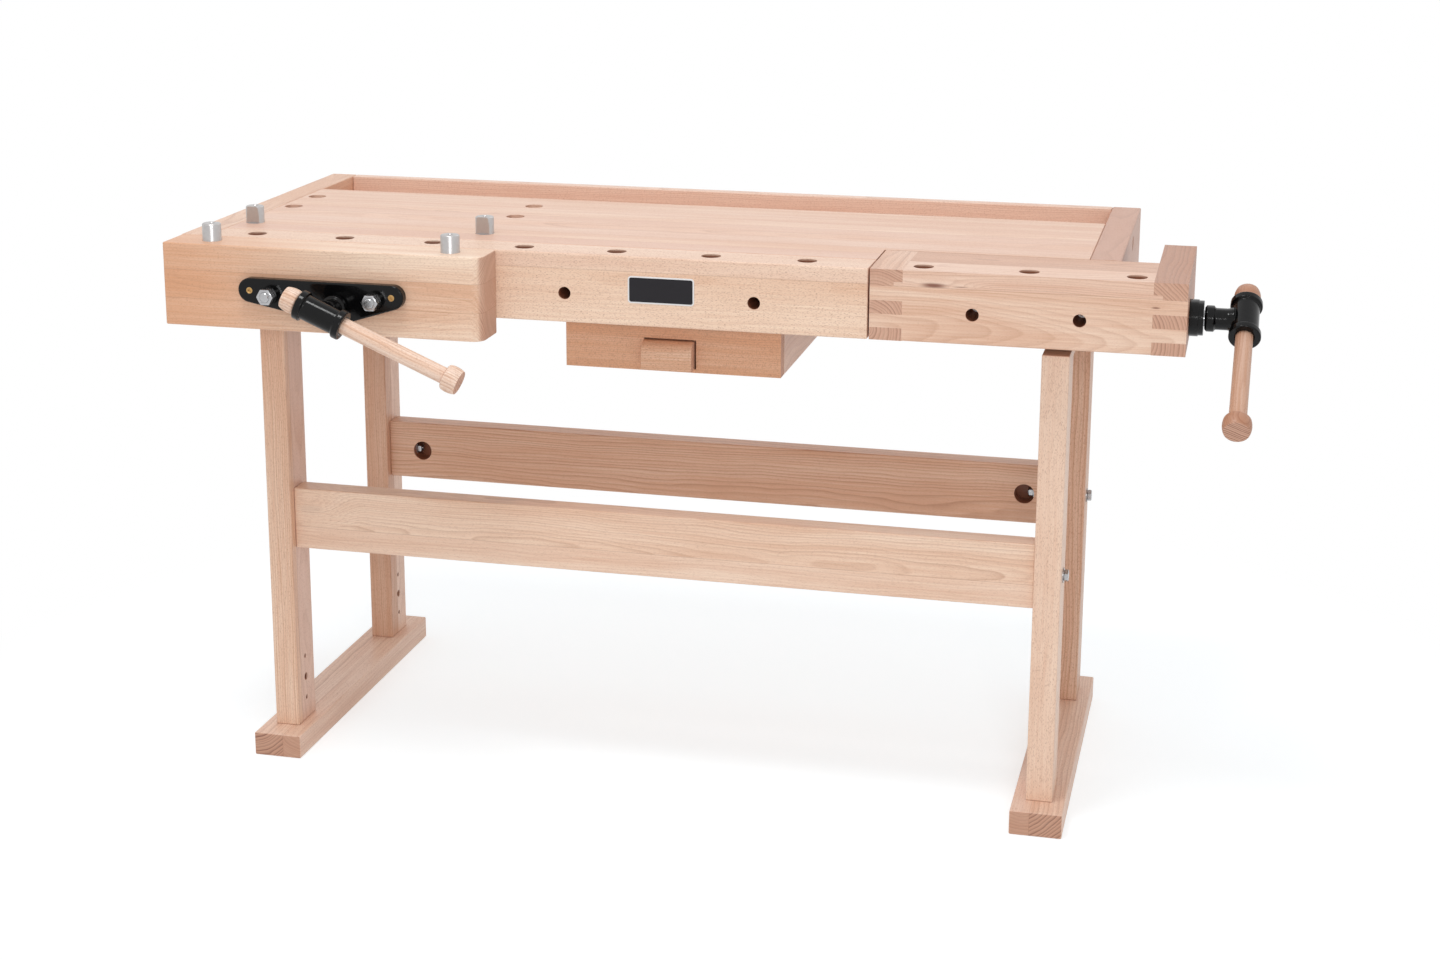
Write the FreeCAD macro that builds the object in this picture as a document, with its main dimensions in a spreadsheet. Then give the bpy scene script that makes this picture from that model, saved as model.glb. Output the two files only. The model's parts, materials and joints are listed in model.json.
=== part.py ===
import FreeCAD, Part
import math
import os
import re
import Sketcher
from FreeCAD import Placement, Rotation, Vector

# Woodworking bench of solid beech: a laminated top with round dog holes and a tool tray, a front vise
# at the left, a wagon-like tail vise at the right front corner, a drawer under the top, and a
# knock-down base of two trestles and two bolted stretchers.
#
# Frame: millimetres, +X along the bench towards the tail vise, +Y from the front to the back, +Z up.
# The origin is on the floor, under the middle of the whole bench with its vise handles.

SIZES = {
    # how far a cutting tool runs past the face it opens
    "overrun": 1,
    # worktop
    "bench_height": 900,
    "worktop_length": 1495,
    "worktop_depth": 636,
    "slab_thickness": 50,
    "beam_height": 110,
    "beam_thickness": 70,
    "end_rail_width": 48,
    "back_rail_thickness": 22,
    "tray_width": 145,
    "tray_board_thickness": 12,
    "tray_board_lap": 14,
    "tray_groove_depth": 8,
    "board_edge": 2.5,
    "plate_width": 100,
    "plate_height": 37,
    "plate_gauge": 1,
    "plate_corner": 4,
    "plate_middle_inset": 167.4,
    "plate_drop": 55,
    # dog holes and face holes
    "dog_hole_radius": 15.4,
    "dog_first_station": 118.7,
    "dog_last_margin": 100.8,
    "dog_hole_count": 7,
    "column_left_station": 72.1,
    "column_right_station": 474.8,
    "column_row_front": 129.7,
    "column_back_margin": 78.6,
    "column_middle_share": 0.60606,
    "face_hole_radius": 10,
    "face_hole_drop": 63.5,
    # bench dogs
    "dog_radius": 15,
    "dog_length": 96,
    "dog_stand": 28,
    "dog_flat_depth": 3.5,
    "dog_flat_lean": 3,
    "dog_rim": 2,
    "dog_bore_radius": 3,
    "dog_bore_depth": 14,
    # front vise
    "jaw_length": 535,
    "jaw_thickness": 70,
    "jaw_height": 134,
    "jaw_inset": 2,
    "jaw_seam": 0.5,
    "jaw_corner": 20,
    "front_screw_station": 302.2,
    "front_screw_drop": 86,
    "rod_left_offset": 112.5,
    "rod_right_offset": 62.5,
    "rod_rise": 12.5,
    "rod_radius": 10,
    "rod_stud_radius": 8,
    "rod_back_reach": 380,
    "screw_back_reach": 300,
    "screw_radius": 12,
    "screw_clearance": 1.5,
    "running_clearance": 0.06,
    "thrust_ring_radius": 19,
    "thrust_ring_width": 8,
    "thrust_ring_play": 1,
    "thrust_pocket_depth": 12,
    "thrust_pocket_radius": 21,
    "casting_thickness": 14,
    "casting_end_radius": 19.5,
    "casting_hub_radius": 30,
    "casting_left_offset": 147,
    "casting_right_offset": 91,
    "casting_rise": 18,
    "casting_edge": 3,
    "hub_radius": 23,
    "hub_height": 1.5,
    "rod_boss_radius": 15,
    "rod_boss_height": 8,
    "rod_nut_flats": 24,
    "rod_nut_thickness": 13,
    "rod_stud_stand": 1.5,
    "plate_screw_radius": 2.5,
    "plate_screw_head_radius": 5.5,
    "plate_screw_head_height": 3,
    "plate_screw_length": 40,
    "carrier_length": 138,
    "carrier_plate": 8,
    "carrier_ear": 29,
    "sleeve_wall": 6,
    "nut_boss_radius": 22,
    "nut_web_width": 30.8,
    "nut_radius": 17,
    "nut_length": 48,
    "carrier_gap": 0.5,
    "coach_screw_radius": 3.5,
    "coach_screw_length": 34,
    "coach_head_flats": 11,
    "coach_head_height": 5,
    "coach_screw_inset": 20,
    "coach_edge_gap": 1,
    # vise heads and handles
    "head_offset": 60,
    "head_gap": 0.5,
    "head_tube_radius": 20,
    "head_tube_length": 79,
    "head_collar_radius": 24,
    "head_collar_length": 11,
    "head_round": 2,
    "neck_radius": 16.5,
    "neck_collar_radius": 20,
    "neck_collar_length": 13,
    "neck_ring_radius": 17.5,
    "neck_ring_length": 1.5,
    "screw_socket_depth": 30,
    "handle_radius": 13,
    "handle_clearance": 0.8,
    "handle_reach": 217,
    "spigot_radius": 9,
    "spigot_length": 16,
    "near_knob_root_radius": 18.5,
    "near_knob_end_radius": 17,
    "far_knob_root_radius": 19.5,
    "far_knob_end_radius": 19,
    "knob_length": 25,
    "knob_swell": 38,
    "knob_root_round": 4,
    "knob_end_round": 1,
    "front_handle_slope": 23,
    "tail_handle_lean": 61,
    "tail_handle_play_angle": 1.1,
    # tail vise
    "tail_notch_length": 366.5,
    "tail_gap": 2.5,
    "tail_overhang": 107.4,
    "tail_depth": 150,
    "tail_clearance": 2,
    "tail_block_width": 50,
    "tail_block_depth": 303,
    "tail_underside_gap": 0.5,
    "tail_dog_inset": 76.3,
    "tail_dog_pitch": 159.4,
    "tail_dog_count": 3,
    "finger_top": 19,
    "finger_step_height": 7,
    "finger_step_width": 36.5,
    "finger_upper_gap": 22,
    "finger_middle": 21,
    "finger_lower_gap": 21,
    "cover_thickness": 26,
    "tail_screw_inset": 95,
    "tail_screw_drop": 70,
    "tail_screw_reach": 340,
    "tail_bar_inset": 270,
    "tail_bar_drop": 72,
    "tail_bar_radius": 10,
    "tail_bar_length": 320,
    "tail_bar_socket": 30,
    "tail_bar_clearance": 2,
    "guide_rail_width": 40,
    "tongue_height": 13,
    "tongue_length": 10,
    "tongue_root": 5,
    "tongue_clearance": 0.5,
    "tongue_drop": 74.5,
    "groove_run": 215,
    "flange_radius": 28,
    "flange_thickness": 21.5,
    "flange_face_thickness": 7.5,
    "flange_step": 1.5,
    "flange_spigot_radius": 24,
    "flange_spigot_length": 15,
    "tail_head_gap": 1.2,
    "tail_nut_inset": 117,
    "tail_nut_length": 50,
    "bracket_plate": 8,
    "bracket_height": 52,
    "bracket_width": 80,
    "bracket_arm_height": 24,
    "bracket_screw_inset": 8,
    "bracket_top_gap": 2,
    # end rail bolts
    "rail_bolt_radius": 5,
    "rail_bolt_bore": 5.3,
    "rail_bolt_pocket_radius": 12.5,
    "rail_bolt_pocket_depth": 14,
    "rail_bolt_front_inset": 205,
    "rail_bolt_back_margin": 33.4,
    "rail_bolt_grip": 60,
    # trestles
    "leg_width": 42,
    "leg_depth": 72,
    "leg_edge": 2,
    "left_leg_station": 126.1,
    "right_leg_inset": 86.3,
    "front_leg_inset": 56,
    "back_leg_margin": 68,
    "foot_width": 83,
    "foot_height": 40,
    "foot_inset": 10,
    "foot_back_inset": 16,
    "leg_tenon_thickness": 21,
    "leg_tenon_width": 50,
    "leg_tenon_length": 28,
    "tenon_root": 10,
    "bearer_height": 78,
    "bearer_thickness": 35,
    "bearer_tenon_length": 30,
    "bearer_tenon_thickness": 15,
    "bearer_shoulder": 10,
    "batten_width": 60,
    "batten_height": 82,
    "batten_front_inset": 192,
    "peg_radius": 8,
    "peg_length": 50,
    "peg_front_setback": 38,
    "peg_back_setback": 35,
    "shelf_hole_radius": 4,
    "shelf_hole_large_radius": 6.5,
    "shelf_hole_depth": 14,
    "shelf_hole_rise": 79,
    "shelf_hole_pitch": 37.5,
    # stretchers and their bolts
    "stretcher_height": 105,
    "stretcher_thickness": 40,
    "stretcher_rise": 355.5,
    "access_radius": 17.5,
    "access_inset": 64,
    "access_depth": 30,
    "bolt_radius": 5,
    "bolt_bore": 5.5,
    "bolt_head_flats": 17,
    "bolt_head_height": 7,
    "washer_radius": 12,
    "washer_thickness": 2,
    "nut_thickness": 8,
    "bolt_end_stand": 2,
    "saddle_thickness": 3,
    "dowel_radius": 5,
    "dowel_length": 38,
    "dowel_spread": 66,
    "dowel_end_gap": 0.5,
    # drawer
    "drawer_notch_gap": 143.9,
    "drawer_width": 350,
    "drawer_inset": 52.7,
    "drawer_front_thickness": 20,
    "drawer_height": 81,
    "drawer_top_gap": 2,
    "case_side_thickness": 15,
    "case_edge": 1,
    "case_front_gap": 3.3,
    "case_back_thickness": 12,
    "runner_height": 12,
    "runner_stand": 6,
    "runner_setback": 10,
    "drawer_side_gap": 1,
    "drawer_side_thickness": 12,
    "drawer_side_lift": 8,
    "drawer_side_height": 60,
    "drawer_back_gap": 13.3,
    "drawer_groove_clearance": 0.5,
    "drawer_floor_thickness": 4,
    "drawer_floor_lift": 5,
    "drawer_floor_groove": 5,
    "pull_width": 82,
    "pull_height": 37,
    "pull_lift": 6,
    "pull_stand": 20,
    "pull_recess_depth": 12,
    "pull_finger_gap": 10,
    "pull_side_gap": 3,
    "pull_round": 9,
    "pull_middle_inset": 169.4,
}

LAYOUT = {
    # the whole bench is centred on the origin, handles included
    "front_reach": "jaw_seam + jaw_thickness + casting_thickness + hub_height + head_gap + head_offset"
                   " + head_collar_radius",
    "tail_reach": "tail_overhang + flange_thickness + tail_head_gap + head_offset + head_collar_radius",
    "top_left": "-(worktop_length + tail_reach) / 2",
    "front_face": "front_reach - (front_reach + worktop_depth) / 2",
    "back_face": "front_face + worktop_depth",
    "top_right": "top_left + worktop_length",
    "slab_left": "top_left + end_rail_width",
    "slab_right": "top_right - end_rail_width",
    "slab_front": "front_face + beam_thickness",
    "slab_back": "back_face - back_rail_thickness - tray_width",
    "slab_underside": "bench_height - slab_thickness",
    "tray_board_front": "slab_back - tray_board_lap",
    "column_row_back": "worktop_depth - back_rail_thickness - tray_width - column_back_margin",
    "column_row_middle": "column_row_front + column_middle_share * (column_row_back - column_row_front)",
    "rail_bolt_back_inset": "worktop_depth - back_rail_thickness - tray_width - rail_bolt_back_margin",
    "beam_underside": "bench_height - beam_height",
    "dog_pitch": "(worktop_length - tail_notch_length - dog_first_station - dog_last_margin)"
                 " / (dog_hole_count - 1)",
    # tail vise notch
    "notch_left": "top_right - tail_notch_length",
    "tail_nut_left": "top_right - tail_nut_inset",
    "notch_back": "front_face + tail_depth + tail_clearance",
    "tail_left": "notch_left + tail_gap",
    "tail_right": "top_right + tail_overhang",
    "tail_block_left": "tail_right - tail_block_width",
    "tail_height": "beam_height - tail_underside_gap",
    "tail_length": "tail_right - tail_left",
    "tail_screw_y": "front_face + tail_screw_inset",
    "tail_screw_z": "bench_height - tail_screw_drop",
    "tail_bar_y": "front_face + tail_bar_inset",
    "tail_bar_z": "bench_height - tail_bar_drop",
    "tail_head_x": "tail_right + flange_thickness + tail_head_gap + head_offset",
    "tongue_bottom": "bench_height - tongue_drop - tongue_height",
    # front vise
    "jaw_left": "top_left + jaw_inset",
    "jaw_back": "front_face - jaw_seam",
    "jaw_front": "jaw_back - jaw_thickness",
    "jaw_bottom": "bench_height - jaw_height",
    "casting_front": "jaw_front - casting_thickness",
    "front_screw_x": "top_left + front_screw_station",
    "front_screw_z": "bench_height - front_screw_drop",
    "front_head_y": "casting_front - hub_height - head_gap - head_offset",
    "rod_left_x": "front_screw_x - rod_left_offset",
    "rod_right_x": "front_screw_x + rod_right_offset",
    "rod_z": "front_screw_z + rod_rise",
    "rod_nut_back": "casting_front - rod_boss_height",
    # base
    "leg_bottom": "foot_height",
    "leg_top": "slab_underside - batten_height",
    "leg_length": "leg_top - leg_bottom",
    "foot_length": "worktop_depth - foot_inset - foot_back_inset",
    "left_leg_x": "top_left + left_leg_station",
    "right_leg_x": "top_right - right_leg_inset",
    "leg_spacing": "right_leg_x - left_leg_x",
    "front_leg_y": "front_face + front_leg_inset",
    "back_leg_y": "back_face - back_leg_margin - leg_depth",
    "stretcher_left": "left_leg_x + leg_width / 2",
    "stretcher_length": "leg_spacing - leg_width",
    "bolt_z": "stretcher_rise + stretcher_height / 2",
    "nut_seat": "access_inset - access_radius + saddle_thickness",
    "bearer_span": "back_leg_y - front_leg_y - leg_depth",
    "batten_front_y": "front_face + batten_front_inset",
    "peg_front_y": "batten_front_y + peg_front_setback",
    "peg_back_y": "tray_board_front - peg_back_setback",
    # drawer
    "drawer_left": "notch_left - drawer_notch_gap - drawer_width",
    "drawer_front_y": "front_face + drawer_inset",
    "drawer_bottom": "beam_underside - drawer_top_gap - drawer_height",
    "drawer_box_y": "drawer_front_y + drawer_front_thickness",
    "case_front_y": "drawer_box_y + case_front_gap",
    "case_back_y": "tray_board_front",
    "drawer_box_depth": "case_back_y - case_back_thickness - drawer_back_gap - drawer_box_y",
    "drawer_box_left": "drawer_left + case_side_thickness + drawer_side_gap",
    "drawer_box_width": "drawer_width - 2 * (case_side_thickness + drawer_side_gap)",
    "runner_z": "drawer_bottom + drawer_side_lift + (drawer_side_height - runner_height) / 2",
}

# Face holes sit halfway between dog holes: pitches from the left dog hole, and from the right one.
BEAM_FACE_HOLES = (3.5, 5.5)
TAIL_FACE_HOLES = (0.5, 1.5)
# Where a bulging side of an outline starts before its radius is set: past the middle of its chord.
BULGE_GUESS = 0.6

doc = FreeCAD.newDocument("WoodworkingBench")
PARTS = []


# --- sheets ---------------------------------------------------------------------------------------

def bound(formula):
    """Point the bare size names of a formula at the sheet that holds each of them."""
    def reference(match):
        name = match.group(0)
        if name in SIZES:
            return "Sizes." + name
        return "Layout." + name if name in LAYOUT else name
    return re.sub(r"[a-z][a-z_]*", reference, formula)


def fill_sheet(name, cells, text):
    """Write one named cell for each size."""
    sheet = doc.addObject("Spreadsheet::Sheet", name)
    for row, (alias, content) in enumerate(cells.items(), start=1):
        sheet.set(f"A{row}", alias.replace("_", " "))
        sheet.set(f"B{row}", text(content))
        sheet.setAlias(f"B{row}", alias)
    doc.recompute()
    return sheet


SIZE_SHEET = fill_sheet("Sizes", SIZES, str)
LAYOUT_SHEET = fill_sheet("Layout", LAYOUT, lambda formula: "=" + bound(formula))


def size(name):
    """The present value of a named size or station."""
    return float((SIZE_SHEET if name in SIZES else LAYOUT_SHEET).get(name))


# --- small modelling vocabulary -------------------------------------------------------------------

ALONG = {
    "x": Rotation(Vector(0, 1, 0), 90),
    "y": Rotation(Vector(1, 0, 0), -90),
    "z": Rotation(),
}


def bind(thing, formulas):
    """Bind properties of a document object to formulas on the sheets."""
    for prop, formula in formulas.items():
        thing.setExpression(prop, bound(formula))
    return thing


def at(thing, corner, turn=None):
    """Place an object by three formulas, turned if asked."""
    if turn:
        thing.Placement = Placement(Vector(), turn)
    return bind(thing, {f"Placement.Base.{axis}": text for axis, text in zip("xyz", corner)})


def box(extent, corner=("0", "0", "0")):
    """A rectangular block."""
    block = doc.addObject("Part::Box", "Block")
    return at(bind(block, dict(zip(("Length", "Width", "Height"), extent))), corner)


def rod(radius, length, start, along="z"):
    """A cylinder that starts at a point and runs along a positive axis."""
    cylinder = doc.addObject("Part::Cylinder", "Round")
    bind(cylinder, {"Radius": radius, "Height": length})
    return at(cylinder, start, ALONG[along])


def hexagon(flats, length, start, along="z"):
    """A hexagonal prism given by its width across flats."""
    prism = doc.addObject("Part::Prism", "Hexagon")
    bind(prism, {"Circumradius": f"{flats} / sqrt(3)", "Height": length})
    return at(prism, start, ALONG[along])


def rounded(blank, radius="board_edge", edges=range(1, 13)):
    """Round the edges of a block."""
    fillet = doc.addObject("Part::Fillet", "Rounded")
    fillet.Base = blank
    fillet.Edges = [(edge, size(radius), size(radius)) for edge in edges]
    return fillet


def board(extent, radius="board_edge"):
    """A board at its own origin, with its edges eased."""
    return rounded(box(extent), radius)


def fuse(pieces):
    """Join overlapping solids into one."""
    union = doc.addObject("Part::MultiFuse", "Joined")
    union.Shapes = pieces
    union.Refine = True
    return union


def cut(base, tools):
    """Take the tools out of a solid."""
    result = doc.addObject("Part::Cut", "Worked")
    result.Base = base
    result.Tool = tools[0] if len(tools) == 1 else fuse_tools(tools)
    return result


def fuse_tools(tools):
    """Gather cutting tools."""
    group = doc.addObject("Part::MultiFuse", "Tools")
    group.Shapes = tools
    return group


def part(label, thing, corner=None, count=1):
    """Name a finished piece, place it, and keep it for export."""
    thing.Label = label
    if corner:
        at(thing, corner)
    PARTS.append((thing, count))
    return thing


def group(label, pieces):
    """Several equal pieces that share one name."""
    compound = doc.addObject("Part::Compound", "Group")
    compound.Links = pieces
    return part(label, compound, count=len(pieces))


def origin_plane(body, role):
    """One of a body's own origin planes."""
    return next(f for f in body.Origin.OriginFeatures if f.Role == role)


def outline(body, role, corners, bulge=None):
    """A closed sketch whose corners are formulas: straight lines, and one arc where a bulge asks for it.

    A bulge is the number of the corner where the arc starts, and the formula of its radius.
    """
    sketch = body.newObject("Sketcher::SketchObject", "Outline")
    sketch.AttachmentSupport = [(origin_plane(body, role), "")]
    sketch.MapMode = "FlatFace"
    count = len(corners)
    guess = [Vector(math.cos(2 * math.pi * i / count), math.sin(2 * math.pi * i / count), 0)
             for i in range(count)]
    for i in range(count):
        start, end = guess[i], guess[(i + 1) % count]
        bulging = bulge and bulge[0] == i
        sketch.addGeometry(Part.Arc(start, (start + end) * BULGE_GUESS, end) if bulging
                           else Part.LineSegment(start, end))
    for i in range(count):
        sketch.addConstraint(Sketcher.Constraint("Coincident", i, 2, (i + 1) % count, 1))
    for i, corner in enumerate(corners):
        for kind, axis, text in zip(("DistanceX", "DistanceY"), (-2, -1), corner):
            if text == "0":
                sketch.addConstraint(Sketcher.Constraint("PointOnObject", i, 1, axis))
            else:
                start = guess[i].x if kind == "DistanceX" else guess[i].y
                number = sketch.addConstraint(Sketcher.Constraint(kind, -1, 1, i, 1, start or 1.0))
                sketch.setExpression(f"Constraints[{number}]", bound(text))
    if bulge:
        number = sketch.addConstraint(Sketcher.Constraint("Radius", bulge[0], 1.0))
        sketch.setExpression(f"Constraints[{number}]", bound(bulge[1]))
    doc.recompute()
    return sketch


def circle(body, role, radius, centre):
    """A sketch of one circle."""
    sketch = body.newObject("Sketcher::SketchObject", "Circle")
    sketch.AttachmentSupport = [(origin_plane(body, role), "")]
    sketch.MapMode = "FlatFace"
    sketch.addGeometry(Part.Circle(Vector(1, 1, 0), Vector(0, 0, 1), 1))
    number = sketch.addConstraint(Sketcher.Constraint("Radius", 0, 1.0))
    sketch.setExpression(f"Constraints[{number}]", bound(radius))
    for kind, axis, text in zip(("DistanceX", "DistanceY"), (-2, -1), centre):
        if text == "0":
            sketch.addConstraint(Sketcher.Constraint("PointOnObject", 0, 3, axis))
        else:
            number = sketch.addConstraint(Sketcher.Constraint(kind, -1, 1, 0, 3, 1.0))
            sketch.setExpression(f"Constraints[{number}]", bound(text))
    doc.recompute()
    return sketch


def feature(body, kind, name, **settings):
    """Add a PartDesign feature to a body and set its properties."""
    item = body.newObject("PartDesign::" + kind, name)
    for prop, value in settings.items():
        setattr(item, prop, value)
    return item


def turned(body_name, profile, bulge=None):
    """A body turned about its own Z axis from a profile of (radius, height) corners."""
    body = doc.addObject("PartDesign::Body", body_name)
    sketch = outline(body, "XZ_Plane", profile, bulge)
    feature(body, "Revolution", "Turning", Profile=sketch, ReferenceAxis=(sketch, ["V_Axis"]), Angle=360)
    doc.recompute()
    return body


def ease(body, radius, wanted):
    """Round the edges of a body that a test picks."""
    edges = body.Tip.Shape.Edges
    names = [f"Edge{number}" for number, edge in enumerate(edges, start=1) if wanted(edge)]
    fillet = feature(body, "Fillet", "Easing", Base=(body.Tip, names))
    bind(fillet, {"Radius": radius})
    doc.recompute()
    return body


def is_rim(*radii):
    """A test for circular edges of the named radii."""
    def test(edge):
        curve = edge.Curve
        return curve.TypeId == "Part::GeomCircle" and any(abs(curve.Radius - size(r)) < 1e-4 for r in radii)
    return test


# --- worktop --------------------------------------------------------------------------------------

def dog_hole(station, inset, depth):
    """A vertical dog hole through a board, placed in the board's own frame."""
    return rod("dog_hole_radius", f"{depth} + 2 * overrun", (station, inset, "-overrun"))


def rail_bolt_bores(back, radius, start, length):
    """The pair of bores for the end rail bolts, in the frame of a piece with its front at `back`."""
    height = "slab_thickness / 2"
    return [rod(radius, length, (start, f"rail_bolt_{place}_inset - {back}", height), "x")
            for place in ("front", "back")]


def make_slab():
    """The laminated main slab, notched for the tail vise."""
    width = "slab_right - slab_left"
    depth = "slab_back - slab_front"
    notch = box(("slab_right - notch_left + overrun", "notch_back - slab_front + overrun",
                 "slab_thickness + 2 * overrun"),
                ("notch_left - slab_left", "-overrun", "-overrun"))
    columns = [f"column_{side}_station - end_rail_width" for side in ("left", "right")]
    rows = [f"column_row_{row} - beam_thickness" for row in ("front", "middle", "back")]
    holes = [dog_hole(column, row, "slab_thickness") for column in columns for row in rows]
    bolts = []
    for start in ("-overrun", "slab_right - slab_left - rail_bolt_grip"):
        bolts += rail_bolt_bores("beam_thickness", "rail_bolt_bore", start, "rail_bolt_grip + overrun")
    coach = [rod("coach_screw_radius", "coach_screw_length + overrun",
                 (f"{x} - slab_left", f"{y} - slab_front", "-overrun"))
             for x, y in carrier_screw_places()]
    blank = board((width, depth, "slab_thickness"))
    slab = cut(blank, [notch] + holes + bolts + coach)
    part("worktop_slab", slab, ("slab_left", "slab_front", "slab_underside"))


def make_front_beam():
    """The thick front beam: dog holes down through it, face holes and vise bores across it."""
    body = doc.addObject("PartDesign::Body", "FrontBeam")
    length = "notch_left - slab_left"
    corners = [("0", "0"), (length, "0"), (length, "beam_thickness"), ("0", "beam_thickness")]
    pad = feature(body, "Pad", "Beam", Profile=outline(body, "XY_Plane", corners))
    bind(pad, {"Length": "beam_height"})
    doc.recompute()
    ease(body, "board_edge", lambda edge: True)
    centre = ("dog_first_station - end_rail_width", "beam_thickness / 2")
    hole = feature(body, "Pocket", "DogHole", Profile=circle(body, "XY_Plane", "dog_hole_radius", centre),
                   Type=1, Reversed=True)
    doc.recompute()
    row = feature(body, "LinearPattern", "DogHoleRow", Originals=[hole])
    row.Direction = (hole.Profile[0], ["H_Axis"])
    bind(row, {"Length": "dog_pitch * (dog_hole_count - 1)", "Occurrences": "dog_hole_count"})
    body.Tip = row
    doc.recompute()
    depth = "beam_thickness + 2 * overrun"
    face_height = "beam_height - face_hole_drop"
    tools = [rod("face_hole_radius", depth,
                 (f"dog_first_station - end_rail_width + {pitches} * dog_pitch", "-overrun",
                  face_height), "y")
             for pitches in BEAM_FACE_HOLES]
    for x, z, radius in (("rod_left_x", "rod_z", "rod_radius"), ("rod_right_x", "rod_z", "rod_radius"),
                         ("front_screw_x", "front_screw_z", "screw_radius")):
        tools.append(rod(f"{radius} + screw_clearance", depth,
                         (f"{x} - slab_left", "-overrun", f"{z} - beam_underside"), "y"))
    part("front_beam", cut(body, tools), ("slab_left", "front_face", "beam_underside"))


def end_rail(label, left, front, depth, outer_pocket):
    """An end rail across the bench, grooved for the tray board and bored for its bolts."""
    height = "beam_height"
    bolt_z = "beam_height - slab_thickness / 2"
    groove_x = "end_rail_width - tray_groove_depth" if outer_pocket == "left" else "-overrun"
    groove = box(("tray_groove_depth + overrun", "tray_width + tray_board_lap + tray_groove_depth",
                  "tray_board_thickness"),
                 (groove_x, f"slab_back - tray_board_lap - {front}",
                  "slab_underside - beam_underside - tray_board_thickness"))
    tools = [groove]
    pocket_x = "-overrun" if outer_pocket == "left" else "end_rail_width - rail_bolt_pocket_depth"
    for place in ("front", "back"):
        y = f"front_face + rail_bolt_{place}_inset - {front}"
        tools.append(rod("rail_bolt_bore", "end_rail_width + 2 * overrun", ("-overrun", y, bolt_z), "x"))
        tools.append(rod("rail_bolt_pocket_radius", "rail_bolt_pocket_depth + overrun",
                         (pocket_x, y, bolt_z), "x"))
    if outer_pocket == "right":
        tools.append(rod("tail_bar_radius + running_clearance", "end_rail_width + 2 * overrun",
                         ("-overrun", f"tail_bar_y - {front}", "tail_bar_z - beam_underside"), "x"))
    part(label, cut(board(("end_rail_width", depth, height)), tools), (left, front, "beam_underside"))


def make_rails():
    """End rails, back rail and the board that is the floor of the tool tray."""
    end_rail("left_end_rail", "top_left", "front_face", "worktop_depth", "left")
    end_rail("right_end_rail", "slab_right", "notch_back", "back_face - notch_back", "right")
    length = "slab_right - slab_left"
    board_z = "slab_underside - tray_board_thickness"
    groove = box((length + " + 2 * overrun", "tray_groove_depth + overrun", "tray_board_thickness"),
                 ("-overrun", "-overrun", "slab_underside - tray_board_thickness - beam_underside"))
    rail = cut(board((length, "back_rail_thickness", "beam_height")), [groove])
    part("back_rail", rail, ("slab_left", "back_face - back_rail_thickness", "beam_underside"))
    floor = box((length + " + 2 * tray_groove_depth",
                 "tray_board_lap + tray_width + tray_groove_depth", "tray_board_thickness"))
    part("tray_board", floor, ("slab_left - tray_groove_depth", "slab_back - tray_board_lap", board_z))


def make_rail_bolts():
    """Hexagon bolts that draw the end rails onto the slab."""
    bolts = []
    head_depth = "rail_bolt_pocket_depth"
    z = "slab_underside + slab_thickness / 2"
    for side in ("left", "right"):
        for place in ("front", "back"):
            y = f"front_face + rail_bolt_{place}_inset"
            length = f"end_rail_width - {head_depth} + rail_bolt_grip - bolt_end_stand"
            if side == "left":
                head = f"top_left + {head_depth} - bolt_head_height"
                shank = f"top_left + {head_depth}"
            else:
                head = f"top_right - {head_depth}"
                shank = f"top_right - {head_depth} - ({length})"
            bolts.append(fuse([hexagon("bolt_head_flats", "bolt_head_height", (head, y, z), "x"),
                               rod("rail_bolt_radius", length, (shank, y, z), "x")]))
    group("end_rail_bolts", bolts)


def make_name_plate():
    """A bare plate on the front beam."""
    blank = box(("plate_width", "plate_gauge", "plate_height"))
    corners = rounded(blank, "plate_corner", [2, 4, 6, 8])
    part("name_plate", corners, ("drawer_left + plate_middle_inset - plate_width / 2",
                                 "front_face - plate_gauge",
                                 "bench_height - plate_drop - plate_height / 2"))


def make_battens():
    """Cross battens under the slab, which stand on the trestles."""
    depth = "tray_board_front - batten_front_y"
    for side in ("left", "right"):
        tools = [rod("peg_radius", "peg_length / 2 + overrun",
                     ("batten_width / 2", f"peg_{place}_y - batten_front_y", "-overrun"))
                 for place in ("front", "back")]
        if side == "right":
            tools.append(rod("tail_bar_radius + tail_bar_clearance", "batten_width + 2 * overrun",
                             ("-overrun", "tail_bar_y - batten_front_y", "tail_bar_z - leg_top"), "x"))
        batten = cut(board(("batten_width", depth, "batten_height")), tools)
        part(f"{side}_batten", batten, (f"{side}_leg_x - batten_width / 2", "batten_front_y", "leg_top"))


# --- front vise -----------------------------------------------------------------------------------

def carrier_screw_places():
    """Where the four screws of the vise carrier go up into the slab."""
    xs = ("rod_left_x - carrier_ear + coach_head_flats / 2 + coach_edge_gap",
          "rod_right_x + carrier_ear - coach_head_flats / 2 - coach_edge_gap")
    ys = ("slab_front + carrier_gap + coach_screw_inset",
          "slab_front + carrier_gap + carrier_length - coach_screw_inset")
    return [(x, y) for x in xs for y in ys]


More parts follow.
